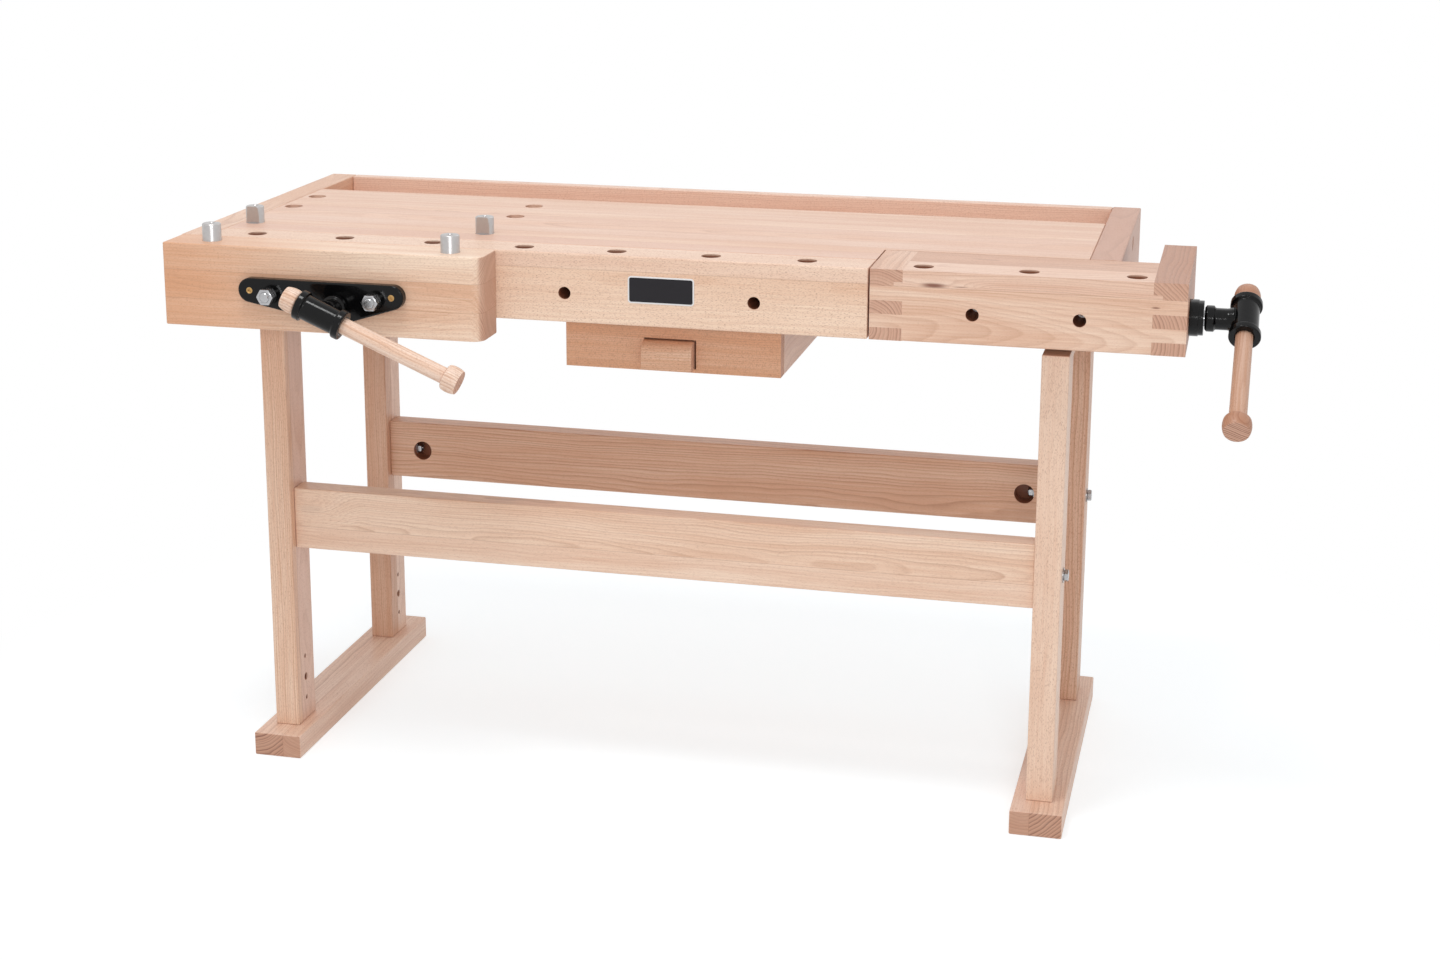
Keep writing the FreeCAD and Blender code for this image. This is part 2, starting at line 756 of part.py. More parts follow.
def make_jaw():
    """The thick wooden jaw with its own two dog holes."""
    blank = box(("jaw_length", "jaw_thickness", "jaw_height"))
    corner = rounded(blank, "jaw_corner", [5])
    doc.recompute()
    small = [number for number in range(1, len(corner.Shape.Edges) + 1) if eased_edge(corner, number)]
    eased = rounded(corner, "board_edge", small)
    tools = [dog_hole(f"column_{side}_station - jaw_inset", "jaw_thickness / 2", "jaw_height")
             for side in ("left", "right")]
    depth = "jaw_thickness + 2 * overrun"
    tools += [rod("rod_radius", depth, (f"{x} - jaw_left", "-overrun", "rod_z - jaw_bottom"), "y")
              for x in ("rod_left_x", "rod_right_x")]
    screw = ("front_screw_x - jaw_left", "-overrun", "front_screw_z - jaw_bottom")
    tools.append(rod("screw_radius + screw_clearance", depth, screw, "y"))
    tools.append(rod("thrust_pocket_radius", "thrust_pocket_depth + overrun", screw, "y"))
    tools += [rod("plate_screw_radius", "plate_screw_length - casting_thickness + overrun",
                  (f"front_screw_x {offset} - jaw_left", "-overrun",
                   "front_screw_z + casting_rise - jaw_bottom"), "y")
              for offset in ("- casting_left_offset", "+ casting_right_offset")]
    part("front_jaw", cut(eased, tools), ("jaw_left", "jaw_front", "jaw_bottom"))


def eased_edge(corner, number):
    """True for the edges of the jaw that keep a small radius: all but the two seams of its big corner."""
    edge = corner.Shape.Edges[number - 1]
    upright = edge.BoundBox.ZLength > size("jaw_height") / 2
    near = size("jaw_corner") + size("overrun")
    beside_corner = edge.CenterOfMass.x > size("jaw_length") - near
    at_front = edge.CenterOfMass.y < near
    return not (upright and beside_corner and at_front)


def tangent_hull(circles):
    """The outline of a belt round three circles, given clockwise as (x, z, radius) when seen from +Y."""
    arcs = []
    for i, (x, z, radius) in enumerate(circles):
        ends = []
        for other, sign in ((circles[i - 1], -1), (circles[(i + 1) % len(circles)], 1)):
            dx, dz = other[0] - x, other[1] - z
            span = math.hypot(dx, dz)
            turn = math.acos((radius - other[2]) / span)
            angle = math.atan2(dz, dx) + sign * turn
            ends.append(Vector(x + radius * math.cos(angle), 0, z + radius * math.sin(angle)))
        centre = Vector(x, 0, z)
        outward = (ends[0] + ends[1]) / 2 - centre
        middle = centre + outward.normalize() * radius
        arcs.append((ends[0], middle, ends[1]))
    edges = []
    for i, (start, middle, end) in enumerate(arcs):
        edges.append(Part.Arc(start, middle, end).toShape())
        edges.append(Part.LineSegment(end, arcs[(i + 1) % len(arcs)][0]).toShape())
    return Part.Wire(edges)


def make_casting():
    """The front casting of the vise: a low triangle with a hub for the screw and two rod bosses."""
    circles = [(-size("casting_left_offset"), size("casting_rise"), size("casting_end_radius")),
               (size("casting_right_offset"), size("casting_rise"), size("casting_end_radius")),
               (0.0, 0.0, size("casting_hub_radius"))]
    face = Part.Face(tangent_hull(circles))
    slab = face.extrude(Vector(0, -size("casting_thickness"), 0))
    front = [edge for edge in slab.Edges if abs(edge.BoundBox.YMax + size("casting_thickness")) < 1e-6]
    shell = doc.addObject("Part::Feature", "CastingPlate")
    shell.Shape = slab.makeFillet(size("casting_edge"), front)
    raised = [shell, rod("hub_radius", "casting_thickness + hub_height",
                         ("0", "-casting_thickness - hub_height", "0"), "y")]
    for x in ("-rod_left_offset", "rod_right_offset"):
        raised.append(rod("rod_boss_radius", "casting_thickness + rod_boss_height",
                          (x, "-casting_thickness - rod_boss_height", "rod_rise"), "y"))
    depth = "casting_thickness + rod_boss_height + 2 * overrun"
    start = "-casting_thickness - rod_boss_height - overrun"
    tools = [rod("screw_radius + running_clearance", depth, ("0", start, "0"), "y")]
    tools += [rod("rod_stud_radius", depth, (x, start, "rod_rise"), "y")
              for x in ("-rod_left_offset", "rod_right_offset")]
    for x in ("-casting_left_offset", "casting_right_offset"):
        tools.append(rod("plate_screw_radius", depth, (x, start, "casting_rise"), "y"))
        tools.append(screw_cone((x, "-casting_thickness", "casting_rise")))
    part("front_vise_casting", cut(fuse(raised), tools), ("front_screw_x", "jaw_front", "front_screw_z"))


def screw_cone(start):
    """The countersunk shape of a plate screw's head, widest at its start."""
    cone = doc.addObject("Part::Cone", "Countersink")
    bind(cone, {"Radius1": "plate_screw_head_radius", "Radius2": "plate_screw_radius",
                "Height": "plate_screw_head_height"})
    return at(cone, start, ALONG["y"])


def make_casting_fixings():
    """Guide rods with their studs, the nuts on them, and the countersunk screws at the casting's ends."""
    rods = []
    nuts = []
    stud_start = "rod_nut_back - rod_nut_thickness - rod_stud_stand"
    for x in ("rod_left_x", "rod_right_x"):
        stud = rod("rod_stud_radius", f"jaw_front - ({stud_start}) + overrun", (x, stud_start, "rod_z"), "y")
        bar = rod("rod_radius", "front_face + rod_back_reach - jaw_front", (x, "jaw_front", "rod_z"), "y")
        rods.append(fuse([stud, bar]))
        nut = hexagon("rod_nut_flats", "rod_nut_thickness", (x, "rod_nut_back - rod_nut_thickness", "rod_z"),
                      "y")
        bore = rod("rod_stud_radius", "rod_nut_thickness + 2 * overrun",
                   (x, "rod_nut_back - rod_nut_thickness - overrun", "rod_z"), "y")
        nuts.append(cut(nut, [bore]))
    group("guide_rods", rods)
    group("guide_rod_nuts", nuts)
    screws = []
    for x in ("front_screw_x - casting_left_offset", "front_screw_x + casting_right_offset"):
        z = "front_screw_z + casting_rise"
        shank = rod("plate_screw_radius", "plate_screw_length", (x, "casting_front", z), "y")
        screws.append(fuse([screw_cone((x, "casting_front", z)), shank]))
    group("casting_screws", screws)


def make_screw(label, start, length, ring_start, along):
    """A vise screw with its thrust ring."""
    x, y, z = start
    ring = {"x": (ring_start, y, z), "y": (x, ring_start, z)}[along]
    pieces = [rod("screw_radius", length, start, along),
              rod("thrust_ring_radius", "thrust_ring_width", ring, along)]
    part(label, fuse(pieces))


def make_carrier():
    """The casting under the slab that guides the rods and holds the front vise's nut."""
    front = "slab_front + carrier_gap"
    plate = box(("rod_left_offset + rod_right_offset + 2 * carrier_ear", "carrier_length", "carrier_plate"),
                ("rod_left_x - carrier_ear", front, "slab_underside - carrier_plate"))
    pieces = [plate]
    tools = []
    for x in ("rod_left_x", "rod_right_x"):
        pieces.append(rod("rod_radius + sleeve_wall", "carrier_length", (x, front, "rod_z"), "y"))
        tools.append(rod("rod_radius + running_clearance", "carrier_length + 2 * overrun",
                         (x, front + " - overrun", "rod_z"), "y"))
    pieces.append(rod("nut_boss_radius", "nut_length", ("front_screw_x", front, "front_screw_z"), "y"))
    pieces.append(box(("nut_web_width", "nut_length", "slab_underside - front_screw_z"),
                      ("front_screw_x - nut_web_width / 2", front, "front_screw_z")))
    tools.append(rod("nut_radius", "nut_length + 2 * overrun",
                     ("front_screw_x", front + " - overrun", "front_screw_z"), "y"))
    for x, y in carrier_screw_places():
        tools.append(rod("coach_screw_radius", "carrier_plate + 2 * overrun",
                         (x, y, "slab_underside - carrier_plate - overrun")))
    part("front_vise_carrier", cut(fuse(pieces), tools))
    nut = cut(rod("nut_radius", "nut_length", ("front_screw_x", front, "front_screw_z"), "y"),
              [rod("screw_radius + running_clearance", "nut_length + 2 * overrun",
                   ("front_screw_x", front + " - overrun", "front_screw_z"), "y")])
    part("front_vise_nut", nut)


# --- vise heads and handles -----------------------------------------------------------------------

# Own frame of a head or a handle: the handle runs along Z, with its near knob up, and the screw
# comes in from -X.
HANDLE_FRAMES = {
    "front": "placement(vector(front_screw_x; front_head_y; front_screw_z);"
             " rotation(-90; 0; 90 - front_handle_slope))",
    "tail": "placement(vector(tail_head_x; tail_screw_y; tail_screw_z); rotation(0; 0; -tail_handle_lean))",
}

# The tail handle hangs a little askew in its loose bore.
BAR_FRAMES = {
    "front": HANDLE_FRAMES["front"],
    "tail": HANDLE_FRAMES["tail"].replace("rotation(0; 0;", "rotation(0; tail_handle_play_angle;"),
}


def make_head(side):
    """The cast head on a vise screw: a cross tube with a collar at each end, on a short neck."""
    half = "head_tube_length / 2"
    inner = "head_tube_length / 2 - head_collar_length"
    bore = "handle_radius + handle_clearance"
    tube = turned("CrossTube", [(bore, "-" + half), ("head_collar_radius", "-" + half),
                                ("head_collar_radius", "-(" + inner + ")"),
                                ("head_tube_radius", "-(" + inner + ")"),
                                ("head_tube_radius", inner), ("head_collar_radius", inner),
                                ("head_collar_radius", half), (bore, half)])
    ease(tube, "head_round", is_rim("head_collar_radius"))
    collar_end = "neck_ring_length + neck_collar_length"
    neck = turned("Neck", [("0", "0"), ("neck_ring_radius", "0"), ("neck_ring_radius", "neck_ring_length"),
                           ("neck_collar_radius", "neck_ring_length"),
                           ("neck_collar_radius", collar_end), ("neck_radius", collar_end),
                           ("neck_radius", "head_offset"), ("0", "head_offset")])
    ease(neck, "head_round", is_rim("neck_collar_radius"))
    at(neck, ("-head_offset", "0", "0"), ALONG["x"])
    through = rod(bore, "head_tube_length + 2 * overrun", ("0", "0", "-head_tube_length / 2 - overrun"))
    socket = rod("screw_radius", "screw_socket_depth + overrun", ("-head_offset - overrun", "0", "0"), "x")
    head = part(f"{side}_vise_head", cut(fuse([tube, neck]), [through, socket]))
    bind(head, {"Placement": HANDLE_FRAMES[side]})


def make_handle(side):
    """The sliding wooden handle and the two knobs glued on its ends."""
    near = "head_tube_length / 2 + handle_clearance"
    far = "-handle_reach"
    run = f"{near} + handle_reach"
    bar = fuse([rod("handle_radius", run, ("0", "0", far)),
                rod("spigot_radius", run + " + 2 * spigot_length", ("0", "0", far + " - spigot_length"))])
    bind(part(f"{side}_handle_bar", bar), {"Placement": BAR_FRAMES[side]})
    knobs = []
    for end, turn, start in (("near", Rotation(), near), ("far", Rotation(Vector(1, 0, 0), 180), far)):
        root, tip = f"{end}_knob_root_radius", f"{end}_knob_end_radius"
        knob = turned("Knob", [("spigot_radius", "0"), (root, "0"), (tip, "knob_length"),
                               ("0", "knob_length"), ("0", "spigot_length"),
                               ("spigot_radius", "spigot_length")], bulge=(1, "knob_swell"))
        ease(knob, "knob_root_round", is_rim(root))
        ease(knob, "knob_end_round", is_rim(tip))
        knobs.append(at(knob, ("0", "0", start), turn))
    bind(group(f"{side}_handle_knobs", knobs), {"Placement": BAR_FRAMES[side]})


# --- tail vise ------------------------------------------------------------------------------------

def finger_levels():
    """(bottom, height) of each stretch of the box joint that belongs to a block, from the top down."""
    top = "beam_height - finger_top - finger_step_height"
    middle = f"{top} - finger_upper_gap - finger_middle"
    low = f"{middle} - finger_lower_gap"
    return {
        "top": ("beam_height - finger_top", "finger_top"),
        "step": (top, "finger_step_height"),
        "middle": (middle, "finger_middle"),
        "low": ("tail_underside_gap", f"{low} - tail_underside_gap"),
    }


def fingers(side, grow):
    """The fingers of one block, as solids in the beam's frame, grown past the faces they pass."""
    levels = finger_levels()
    pieces = []
    for name, (bottom, height) in levels.items():
        width = "finger_step_width" if name == "step" else "tail_block_width"
        x = f"-{grow}" if side == "left" else f"tail_length - {width}"
        pieces.append(box((f"{width} + {grow}", f"beam_thickness + {grow}", height),
                          (x, f"-{grow}", bottom)))
    return pieces


def make_tail_beam():
    """The front beam of the tail vise, with dog holes, face holes and box joints at its ends."""
    blank = rounded(box(("tail_length", "beam_thickness", "tail_height"), ("0", "0", "tail_underside_gap")),
                    "board_edge", [9, 11])
    tools = fingers("left", "overrun") + fingers("right", "overrun")
    first = "tail_length - tail_dog_inset"
    tools += [dog_hole(f"{first} - {number} * tail_dog_pitch", "beam_thickness / 2", "beam_height")
              for number in range(int(size("tail_dog_count")))]
    tools += [rod("face_hole_radius", "beam_thickness + 2 * overrun",
                  (f"{first} - {pitches} * tail_dog_pitch", "-overrun", "beam_height - face_hole_drop"), "y")
              for pitches in TAIL_FACE_HOLES]
    part("tail_beam", cut(blank, tools), ("tail_left", "front_face", "beam_underside"))


def tail_block(label, side, depth):
    """A block across the end of the tail vise, with the fingers that pass through the beam."""
    x = "0" if side == "left" else "tail_length - tail_block_width"
    body = box(("tail_block_width", f"{depth} - beam_thickness", "tail_height"),
               (x, "beam_thickness", "tail_underside_gap"))
    solid = fuse([body] + fingers(side, "0"))
    tools = []
    if side == "left":
        tongue = box(("tail_block_width", "tongue_length + tongue_root", "tongue_height"),
                     ("0", "tail_depth - tongue_root", "tongue_bottom - beam_underside"))
        solid = fuse([solid, tongue])
    else:
        screw = (f"{x} - overrun", "tail_screw_inset", "beam_height - tail_screw_drop")
        tools.append(rod("screw_radius + screw_clearance", "tail_block_width + 2 * overrun", screw, "x"))
        tools.append(rod("flange_spigot_radius", "flange_spigot_length + overrun",
                         ("tail_length - flange_spigot_length", "tail_screw_inset",
                          "beam_height - tail_screw_drop"), "x"))
        tools.append(rod("tail_bar_radius", "tail_bar_socket + overrun",
                         (f"{x} - overrun", "tail_bar_inset", "beam_height - tail_bar_drop"), "x"))
    part(label, cut(solid, tools) if tools else solid, ("tail_left", "front_face", "beam_underside"))


def make_tail_cover():
    """The board that covers the tail vise's screw, flush with the top."""
    length = "tail_length - 2 * tail_block_width"
    depth = "tail_depth - beam_thickness"
    part("tail_cover", box((length, depth, "cover_thickness")),
         ("tail_left + tail_block_width", "front_face + beam_thickness", "bench_height - cover_thickness"))


def make_tail_flange():
    """The iron flange on the end block, which holds the screw's thrust ring."""
    pocket = "thrust_ring_radius + thrust_ring_play"
    step = "flange_radius - flange_step"
    inner = "flange_thickness - flange_face_thickness"
    bore = "screw_radius + running_clearance"
    profile = [(pocket, "-flange_spigot_length"), ("flange_spigot_radius", "-flange_spigot_length"),
               ("flange_spigot_radius", "0"), ("flange_radius", "0"), ("flange_radius", inner),
               (step, inner), (step, "flange_thickness"), (bore, "flange_thickness"),
               (bore, inner), (pocket, inner)]
    body = turned("Flange", profile)
    ease(body, "head_round / 2", is_outer_rim)
    at(body, ("tail_right", "tail_screw_y", "tail_screw_z"), ALONG["x"])
    part("tail_flange", body)


def is_outer_rim(edge):
    """The two rims that show on the tail flange."""
    step = size("flange_thickness") - size("flange_face_thickness") + size("overrun")
    curve = edge.Curve
    if curve.TypeId != "Part::GeomCircle":
        return False
    on_wide_disc = curve.Radius > size("flange_radius") - size("flange_step") / 2
    on_face = curve.Radius > size("flange_spigot_radius") and edge.BoundBox.ZMax > step
    return on_face or on_wide_disc and edge.BoundBox.ZMax > size("overrun")


def make_tail_guides():
    """The rail that guides the jaw block, the bar that guides the end block, and the nut's bracket."""
    length = "slab_right - notch_left"
    groove = box(("groove_run + overrun", "tongue_length + tongue_clearance + overrun",
                  "tongue_height + 2 * tongue_clearance"),
                 ("-overrun", "-overrun", "tongue_bottom - tongue_clearance - beam_underside"))
    holes = [rod("coach_screw_radius", "coach_screw_length - bracket_plate + overrun",
                 (f"{x} - notch_left", "-overrun", f"{z} - beam_underside"), "y")
             for x, z in bracket_screw_places()]
    rail = cut(board((length, "guide_rail_width", "slab_underside - beam_underside")), [groove] + holes)
    part("tail_guide_rail", rail, ("notch_left", "notch_back", "beam_underside"))
    bar = rod("tail_bar_radius", "tail_bar_length",
              ("tail_block_left + tail_bar_socket - tail_bar_length", "tail_bar_y", "tail_bar_z"), "x")
    part("tail_guide_bar", bar)


def bracket_screw_places():
    """Where the four screws of the tail nut's bracket enter the guide rail."""
    middle = "tail_nut_left + tail_nut_length / 2"
    level = "slab_underside - bracket_top_gap - bracket_height / 2"
    return [(f"{middle} {side} (bracket_width / 2 - bracket_screw_inset)",
             f"{level} {rise} (bracket_height / 2 - bracket_screw_inset)")
            for side in ("-", "+") for rise in ("-", "+")]


def make_tail_nut():
    """The cast bracket that carries the tail vise's nut in front of the guide rail."""
    plate = box(("bracket_width", "bracket_plate", "bracket_height"),
                ("tail_nut_left + (tail_nut_length - bracket_width) / 2", "notch_back - bracket_plate",
                 "slab_underside - bracket_top_gap - bracket_height"))
    arm = box(("tail_nut_length", "notch_back - bracket_plate / 2 - tail_screw_y", "bracket_arm_height"),
              ("tail_nut_left", "tail_screw_y", "tail_screw_z - bracket_arm_height / 2"))
    boss = rod("nut_boss_radius", "tail_nut_length", ("tail_nut_left", "tail_screw_y", "tail_screw_z"), "x")
    tools = [rod("screw_radius + running_clearance", "tail_nut_length + 2 * overrun",
                 ("tail_nut_left - overrun", "tail_screw_y", "tail_screw_z"), "x")]
    tools += [rod("coach_screw_radius", "bracket_plate + 2 * overrun",
                  (sx, "notch_back - bracket_plate - overrun", sz), "y")
              for sx, sz in bracket_screw_places()]
    part("tail_nut_bracket", cut(fuse([plate, arm, boss]), tools))


def make_coach_screws():
    """The eight equal screws that hold the carrier and the bracket."""
    screws = []
    for x, y in carrier_screw_places():
        head_z = "slab_underside - carrier_plate - coach_head_height"
        screws.append(fuse([hexagon("coach_head_flats", "coach_head_height", (x, y, head_z)),
                            rod("coach_screw_radius", "coach_screw_length + carrier_plate",
                                (x, y, "slab_underside - carrier_plate"))]))
    for x, z in bracket_screw_places():
        head_y = "notch_back - bracket_plate - coach_head_height"
        screws.append(fuse([hexagon("coach_head_flats", "coach_head_height", (x, head_y, z), "y"),
                            rod("coach_screw_radius", "coach_screw_length",
                                (x, "notch_back - bracket_plate", z), "y")]))
    group("coach_screws", screws)


# --- bench dogs -----------------------------------------------------------------------------------

def make_dog(label, x, y, facing):
    """A round metal dog standing in its hole, with a flat that leans out over the work."""
    body = turned("Dog", [("0", "-dog_length + dog_stand"), ("dog_radius", "-dog_length + dog_stand"),
                          ("dog_radius", "dog_stand - dog_rim"), ("dog_radius - dog_rim", "dog_stand"),
                          ("0", "dog_stand")])
    face = "dog_radius - dog_flat_depth"
    foot = f"{face} - dog_stand * tan(dog_flat_lean)"
    wedge_body = doc.addObject("PartDesign::Body", "Flat")
    profile = [(foot, "0"), (face, "dog_stand + overrun"), ("dog_radius + overrun", "dog_stand + overrun"),
               ("dog_radius + overrun", "0")]
    pad = feature(wedge_body, "Pad", "Wedge", Profile=outline(wedge_body, "YZ_Plane", profile), Midplane=True)
    bind(pad, {"Length": "2 * dog_radius + 2 * overrun"})
    doc.recompute()
    hole = rod("dog_bore_radius", "dog_bore_depth + overrun", ("0", "0", "dog_stand - dog_bore_depth"))
    dog = cut(body, [wedge_body, hole])
    part(label, dog)
    at(dog, (x, y, "bench_height"), Rotation(Vector(0, 0, 1), 180) if facing == "front" else None)


# --- base -----------------------------------------------------------------------------------------

def make_trestle(side):
    """One trestle: a foot, two legs tenoned into it, and a bearer between the legs."""
    foot_y = "front_face + foot_inset"
    mortises = [box(("leg_tenon_thickness", "leg_tenon_width", "leg_tenon_length + overrun"),
                    ("(foot_width - leg_tenon_thickness) / 2",
                     f"{place}_leg_y - front_face - foot_inset + (leg_depth - leg_tenon_width) / 2",
                     "foot_height - leg_tenon_length"))
                for place in ("front", "back")]
    foot = cut(board(("foot_width", "foot_length", "foot_height")), mortises)
    part(f"{side}_foot", foot, (f"{side}_leg_x - foot_width / 2", foot_y, "0"))
    for place in ("front", "back"):
        make_leg(side, place)
    tenon_height = "bearer_height - 2 * bearer_shoulder"
    tenons = box(("bearer_tenon_thickness", "bearer_span + 2 * bearer_tenon_length", tenon_height),
                 ("(bearer_thickness - bearer_tenon_thickness) / 2", "-bearer_tenon_length",
                  "bearer_shoulder"))
    bearer = cut(fuse([board(("bearer_thickness", "bearer_span", "bearer_height")), tenons]),
                 [rod("peg_radius", "peg_length / 2 + overrun",
                      ("bearer_thickness / 2", f"peg_{spot}_y - front_leg_y - leg_depth",
                       "bearer_height - peg_length / 2"))
                  for spot in ("front", "back")])
    part(f"{side}_bearer", bearer, (f"{side}_leg_x - bearer_thickness / 2",
                                    "front_leg_y + leg_depth", "leg_top - bearer_height"))


def make_leg(side, place):
    """A leg: tenon at its foot, mortise for the bearer, bores for the stretcher's bolt and dowels."""
    shaft = board(("leg_width", "leg_depth", "leg_length"), "leg_edge")
    tenon = box(("leg_tenon_thickness", "leg_tenon_width", "leg_tenon_length + tenon_root"),
                ("(leg_width - leg_tenon_thickness) / 2", "(leg_depth - leg_tenon_width) / 2",
                 "-leg_tenon_length"))
    mortise_y = "leg_depth - bearer_tenon_length" if place == "front" else "-overrun"
    mortise = box(("bearer_tenon_thickness", "bearer_tenon_length + overrun",
                   "bearer_height - 2 * bearer_shoulder"),
                  ("(leg_width - bearer_tenon_thickness) / 2", mortise_y,
                   "leg_length - bearer_height + bearer_shoulder"))
    bolt_z = "bolt_z - leg_bottom"
    bolt = rod("bolt_bore", "leg_width + 2 * overrun", ("-overrun", "leg_depth / 2", bolt_z), "x")
    inner = "leg_width - dowel_length / 2" if side == "left" else "-overrun"
    dowels = [rod("dowel_radius", "dowel_length / 2 + overrun",
                  (inner, "leg_depth / 2", f"{bolt_z} {sign} dowel_spread / 2"), "x")
              for sign in ("-", "+")]
    hole_x = "leg_width - shelf_hole_depth" if side == "left" else "-overrun"
    holes = [rod("shelf_hole_large_radius" if number == 1 else "shelf_hole_radius",
                 "shelf_hole_depth + overrun",
                 (hole_x, "leg_depth / 2",
                  f"shelf_hole_rise + {number} * shelf_hole_pitch - leg_bottom"), "x")
             for number in range(3)]
    leg = cut(fuse([shaft, tenon]), [mortise, bolt] + dowels + holes)
    part(f"{side}_{place}_leg", leg, (f"{side}_leg_x - leg_width / 2", f"{place}_leg_y", "leg_bottom"))


def make_stretcher(place):
    """A stretcher between the trestles, bored at both ends for a bolt, its nut and two dowels."""
    access_y = "stretcher_thickness - access_depth" if place == "front" else "-overrun"
    middle = "stretcher_thickness / 2"
    half = "stretcher_height / 2"
    tools = []
    for x, bore_x, dowel_x in (("access_inset", "-overrun", "-overrun"),
                               ("stretcher_length - access_inset", "stretcher_length - access_inset",
                                "stretcher_length - dowel_length / 2")):
        tools.append(rod("access_radius", "access_depth + overrun", (x, access_y, half), "y"))
        tools.append(rod("bolt_bore", "access_inset + overrun", (bore_x, middle, half), "x"))
        tools += [rod("dowel_radius", "dowel_length / 2 + overrun",
                      (dowel_x, middle, f"{half} {sign} dowel_spread / 2"), "x")
                  for sign in ("-", "+")]
    stretcher = cut(board(("stretcher_length", "stretcher_thickness", "stretcher_height")), tools)
    part(f"{place}_stretcher", stretcher,
         ("stretcher_left", f"{place}_leg_y + (leg_depth - stretcher_thickness) / 2", "stretcher_rise"))


def make_base_fixings():
    """Bolts, washers, nuts and dowels of the four stretcher joints, and the pegs that locate the top."""
    bolts, washers, nuts, dowels = [], [], [], []
    for side in ("left", "right"):
        out, inward = ("-", "+") if side == "left" else ("+", "-")
        face = f"{side}_leg_x {out} leg_width / 2"
        shoulder = f"{side}_leg_x {inward} leg_width / 2"
        for place in ("front", "back"):
            y = f"{place}_leg_y + leg_depth / 2"

            def span(near, far):
                """(start, length) along X between two distances measured inward from the leg's inner face."""
                start = near if side == "left" else far
                return f"{shoulder} {inward} ({start})", f"({far}) - ({near})"

            head_x, head_run = span("-leg_width - washer_thickness - bolt_head_height",
                                    "-leg_width - washer_thickness")
            shank_x, shank_run = span("-leg_width - washer_thickness",
                                      "nut_seat + nut_thickness + bolt_end_stand")
            washer_x, washer_run = span("-leg_width - washer_thickness", "-leg_width")
            nut_x, nut_run = span("nut_seat", "nut_seat + nut_thickness")
            saddle_x, saddle_run = span("nut_seat - saddle_thickness", "nut_seat")
            bolts.append(fuse([hexagon("bolt_head_flats", head_run, (head_x, y, "bolt_z"), "x"),
                               rod("bolt_radius", shank_run, (shank_x, y, "bolt_z"), "x")]))
            washers.append(cut(rod("washer_radius", washer_run, (washer_x, y, "bolt_z"), "x"),
                               [rod("bolt_bore", "leg_width", (f"{face} - leg_width / 2", y, "bolt_z"),
                                    "x")]))
            nuts.append(cut(hexagon("bolt_head_flats", nut_run, (nut_x, y, "bolt_z"), "x"),
                            [rod("bolt_radius", shank_run, (shank_x, y, "bolt_z"), "x")]))
            bed = doc.addObject("Part::Common", "Saddle")
            bed.Base = rod("access_radius", "bolt_head_flats",
                           (f"{shoulder} {inward} access_inset", f"{y} - bolt_head_flats / 2", "bolt_z"), "y")
            bed.Tool = box((saddle_run, "2 * access_radius", "2 * access_radius"),
                           (saddle_x, f"{y} - access_radius", "bolt_z - access_radius"))
            washers.append(cut(bed, [rod("bolt_bore", shank_run, (shank_x, y, "bolt_z"), "x")]))
            for sign in ("-", "+"):
                dowels.append(rod("dowel_radius", "dowel_length - 2 * dowel_end_gap",
                                  (f"{shoulder} - dowel_length / 2 + dowel_end_gap", y,
                                   f"bolt_z {sign} dowel_spread / 2"), "x"))
    group("stretcher_bolts", bolts)
    group("bolt_washers", washers)
    group("stretcher_nuts", nuts)
    dowels += [rod("peg_radius", "peg_length - 2 * dowel_end_gap",
                   (f"{side}_leg_x", f"peg_{spot}_y", "leg_top - peg_length / 2 + dowel_end_gap"))
               for side in ("left", "right") for spot in ("front", "back")]
    group("dowels", dowels)


# --- drawer ---------------------------------------------------------------------------------------

def make_drawer_case():
    """Two side panels, a back and two runners, fixed under the slab."""
    side_depth = "case_back_y - case_front_y"
    height = "slab_underside - drawer_bottom"
    panels = [at(board(("case_side_thickness", side_depth, height), "case_edge"),
                 (x, "case_front_y", "drawer_bottom"))
              for x in ("drawer_left", "drawer_left + drawer_width - case_side_thickness")]
    group("drawer_case_sides", panels)
    inner = "drawer_width - 2 * case_side_thickness"
    part("drawer_case_back", box((inner, "case_back_thickness", height)),
         ("drawer_left + case_side_thickness", "case_back_y - case_back_thickness", "drawer_bottom"))
    run = "case_back_y - case_back_thickness - case_front_y - runner_setback"
    runners = [box(("runner_stand", run, "runner_height"), (x, "case_front_y + runner_setback", "runner_z"))
               for x in ("drawer_left + case_side_thickness",
                         "drawer_left + drawer_width - case_side_thickness - runner_stand")]
    group("drawer_runners", runners)


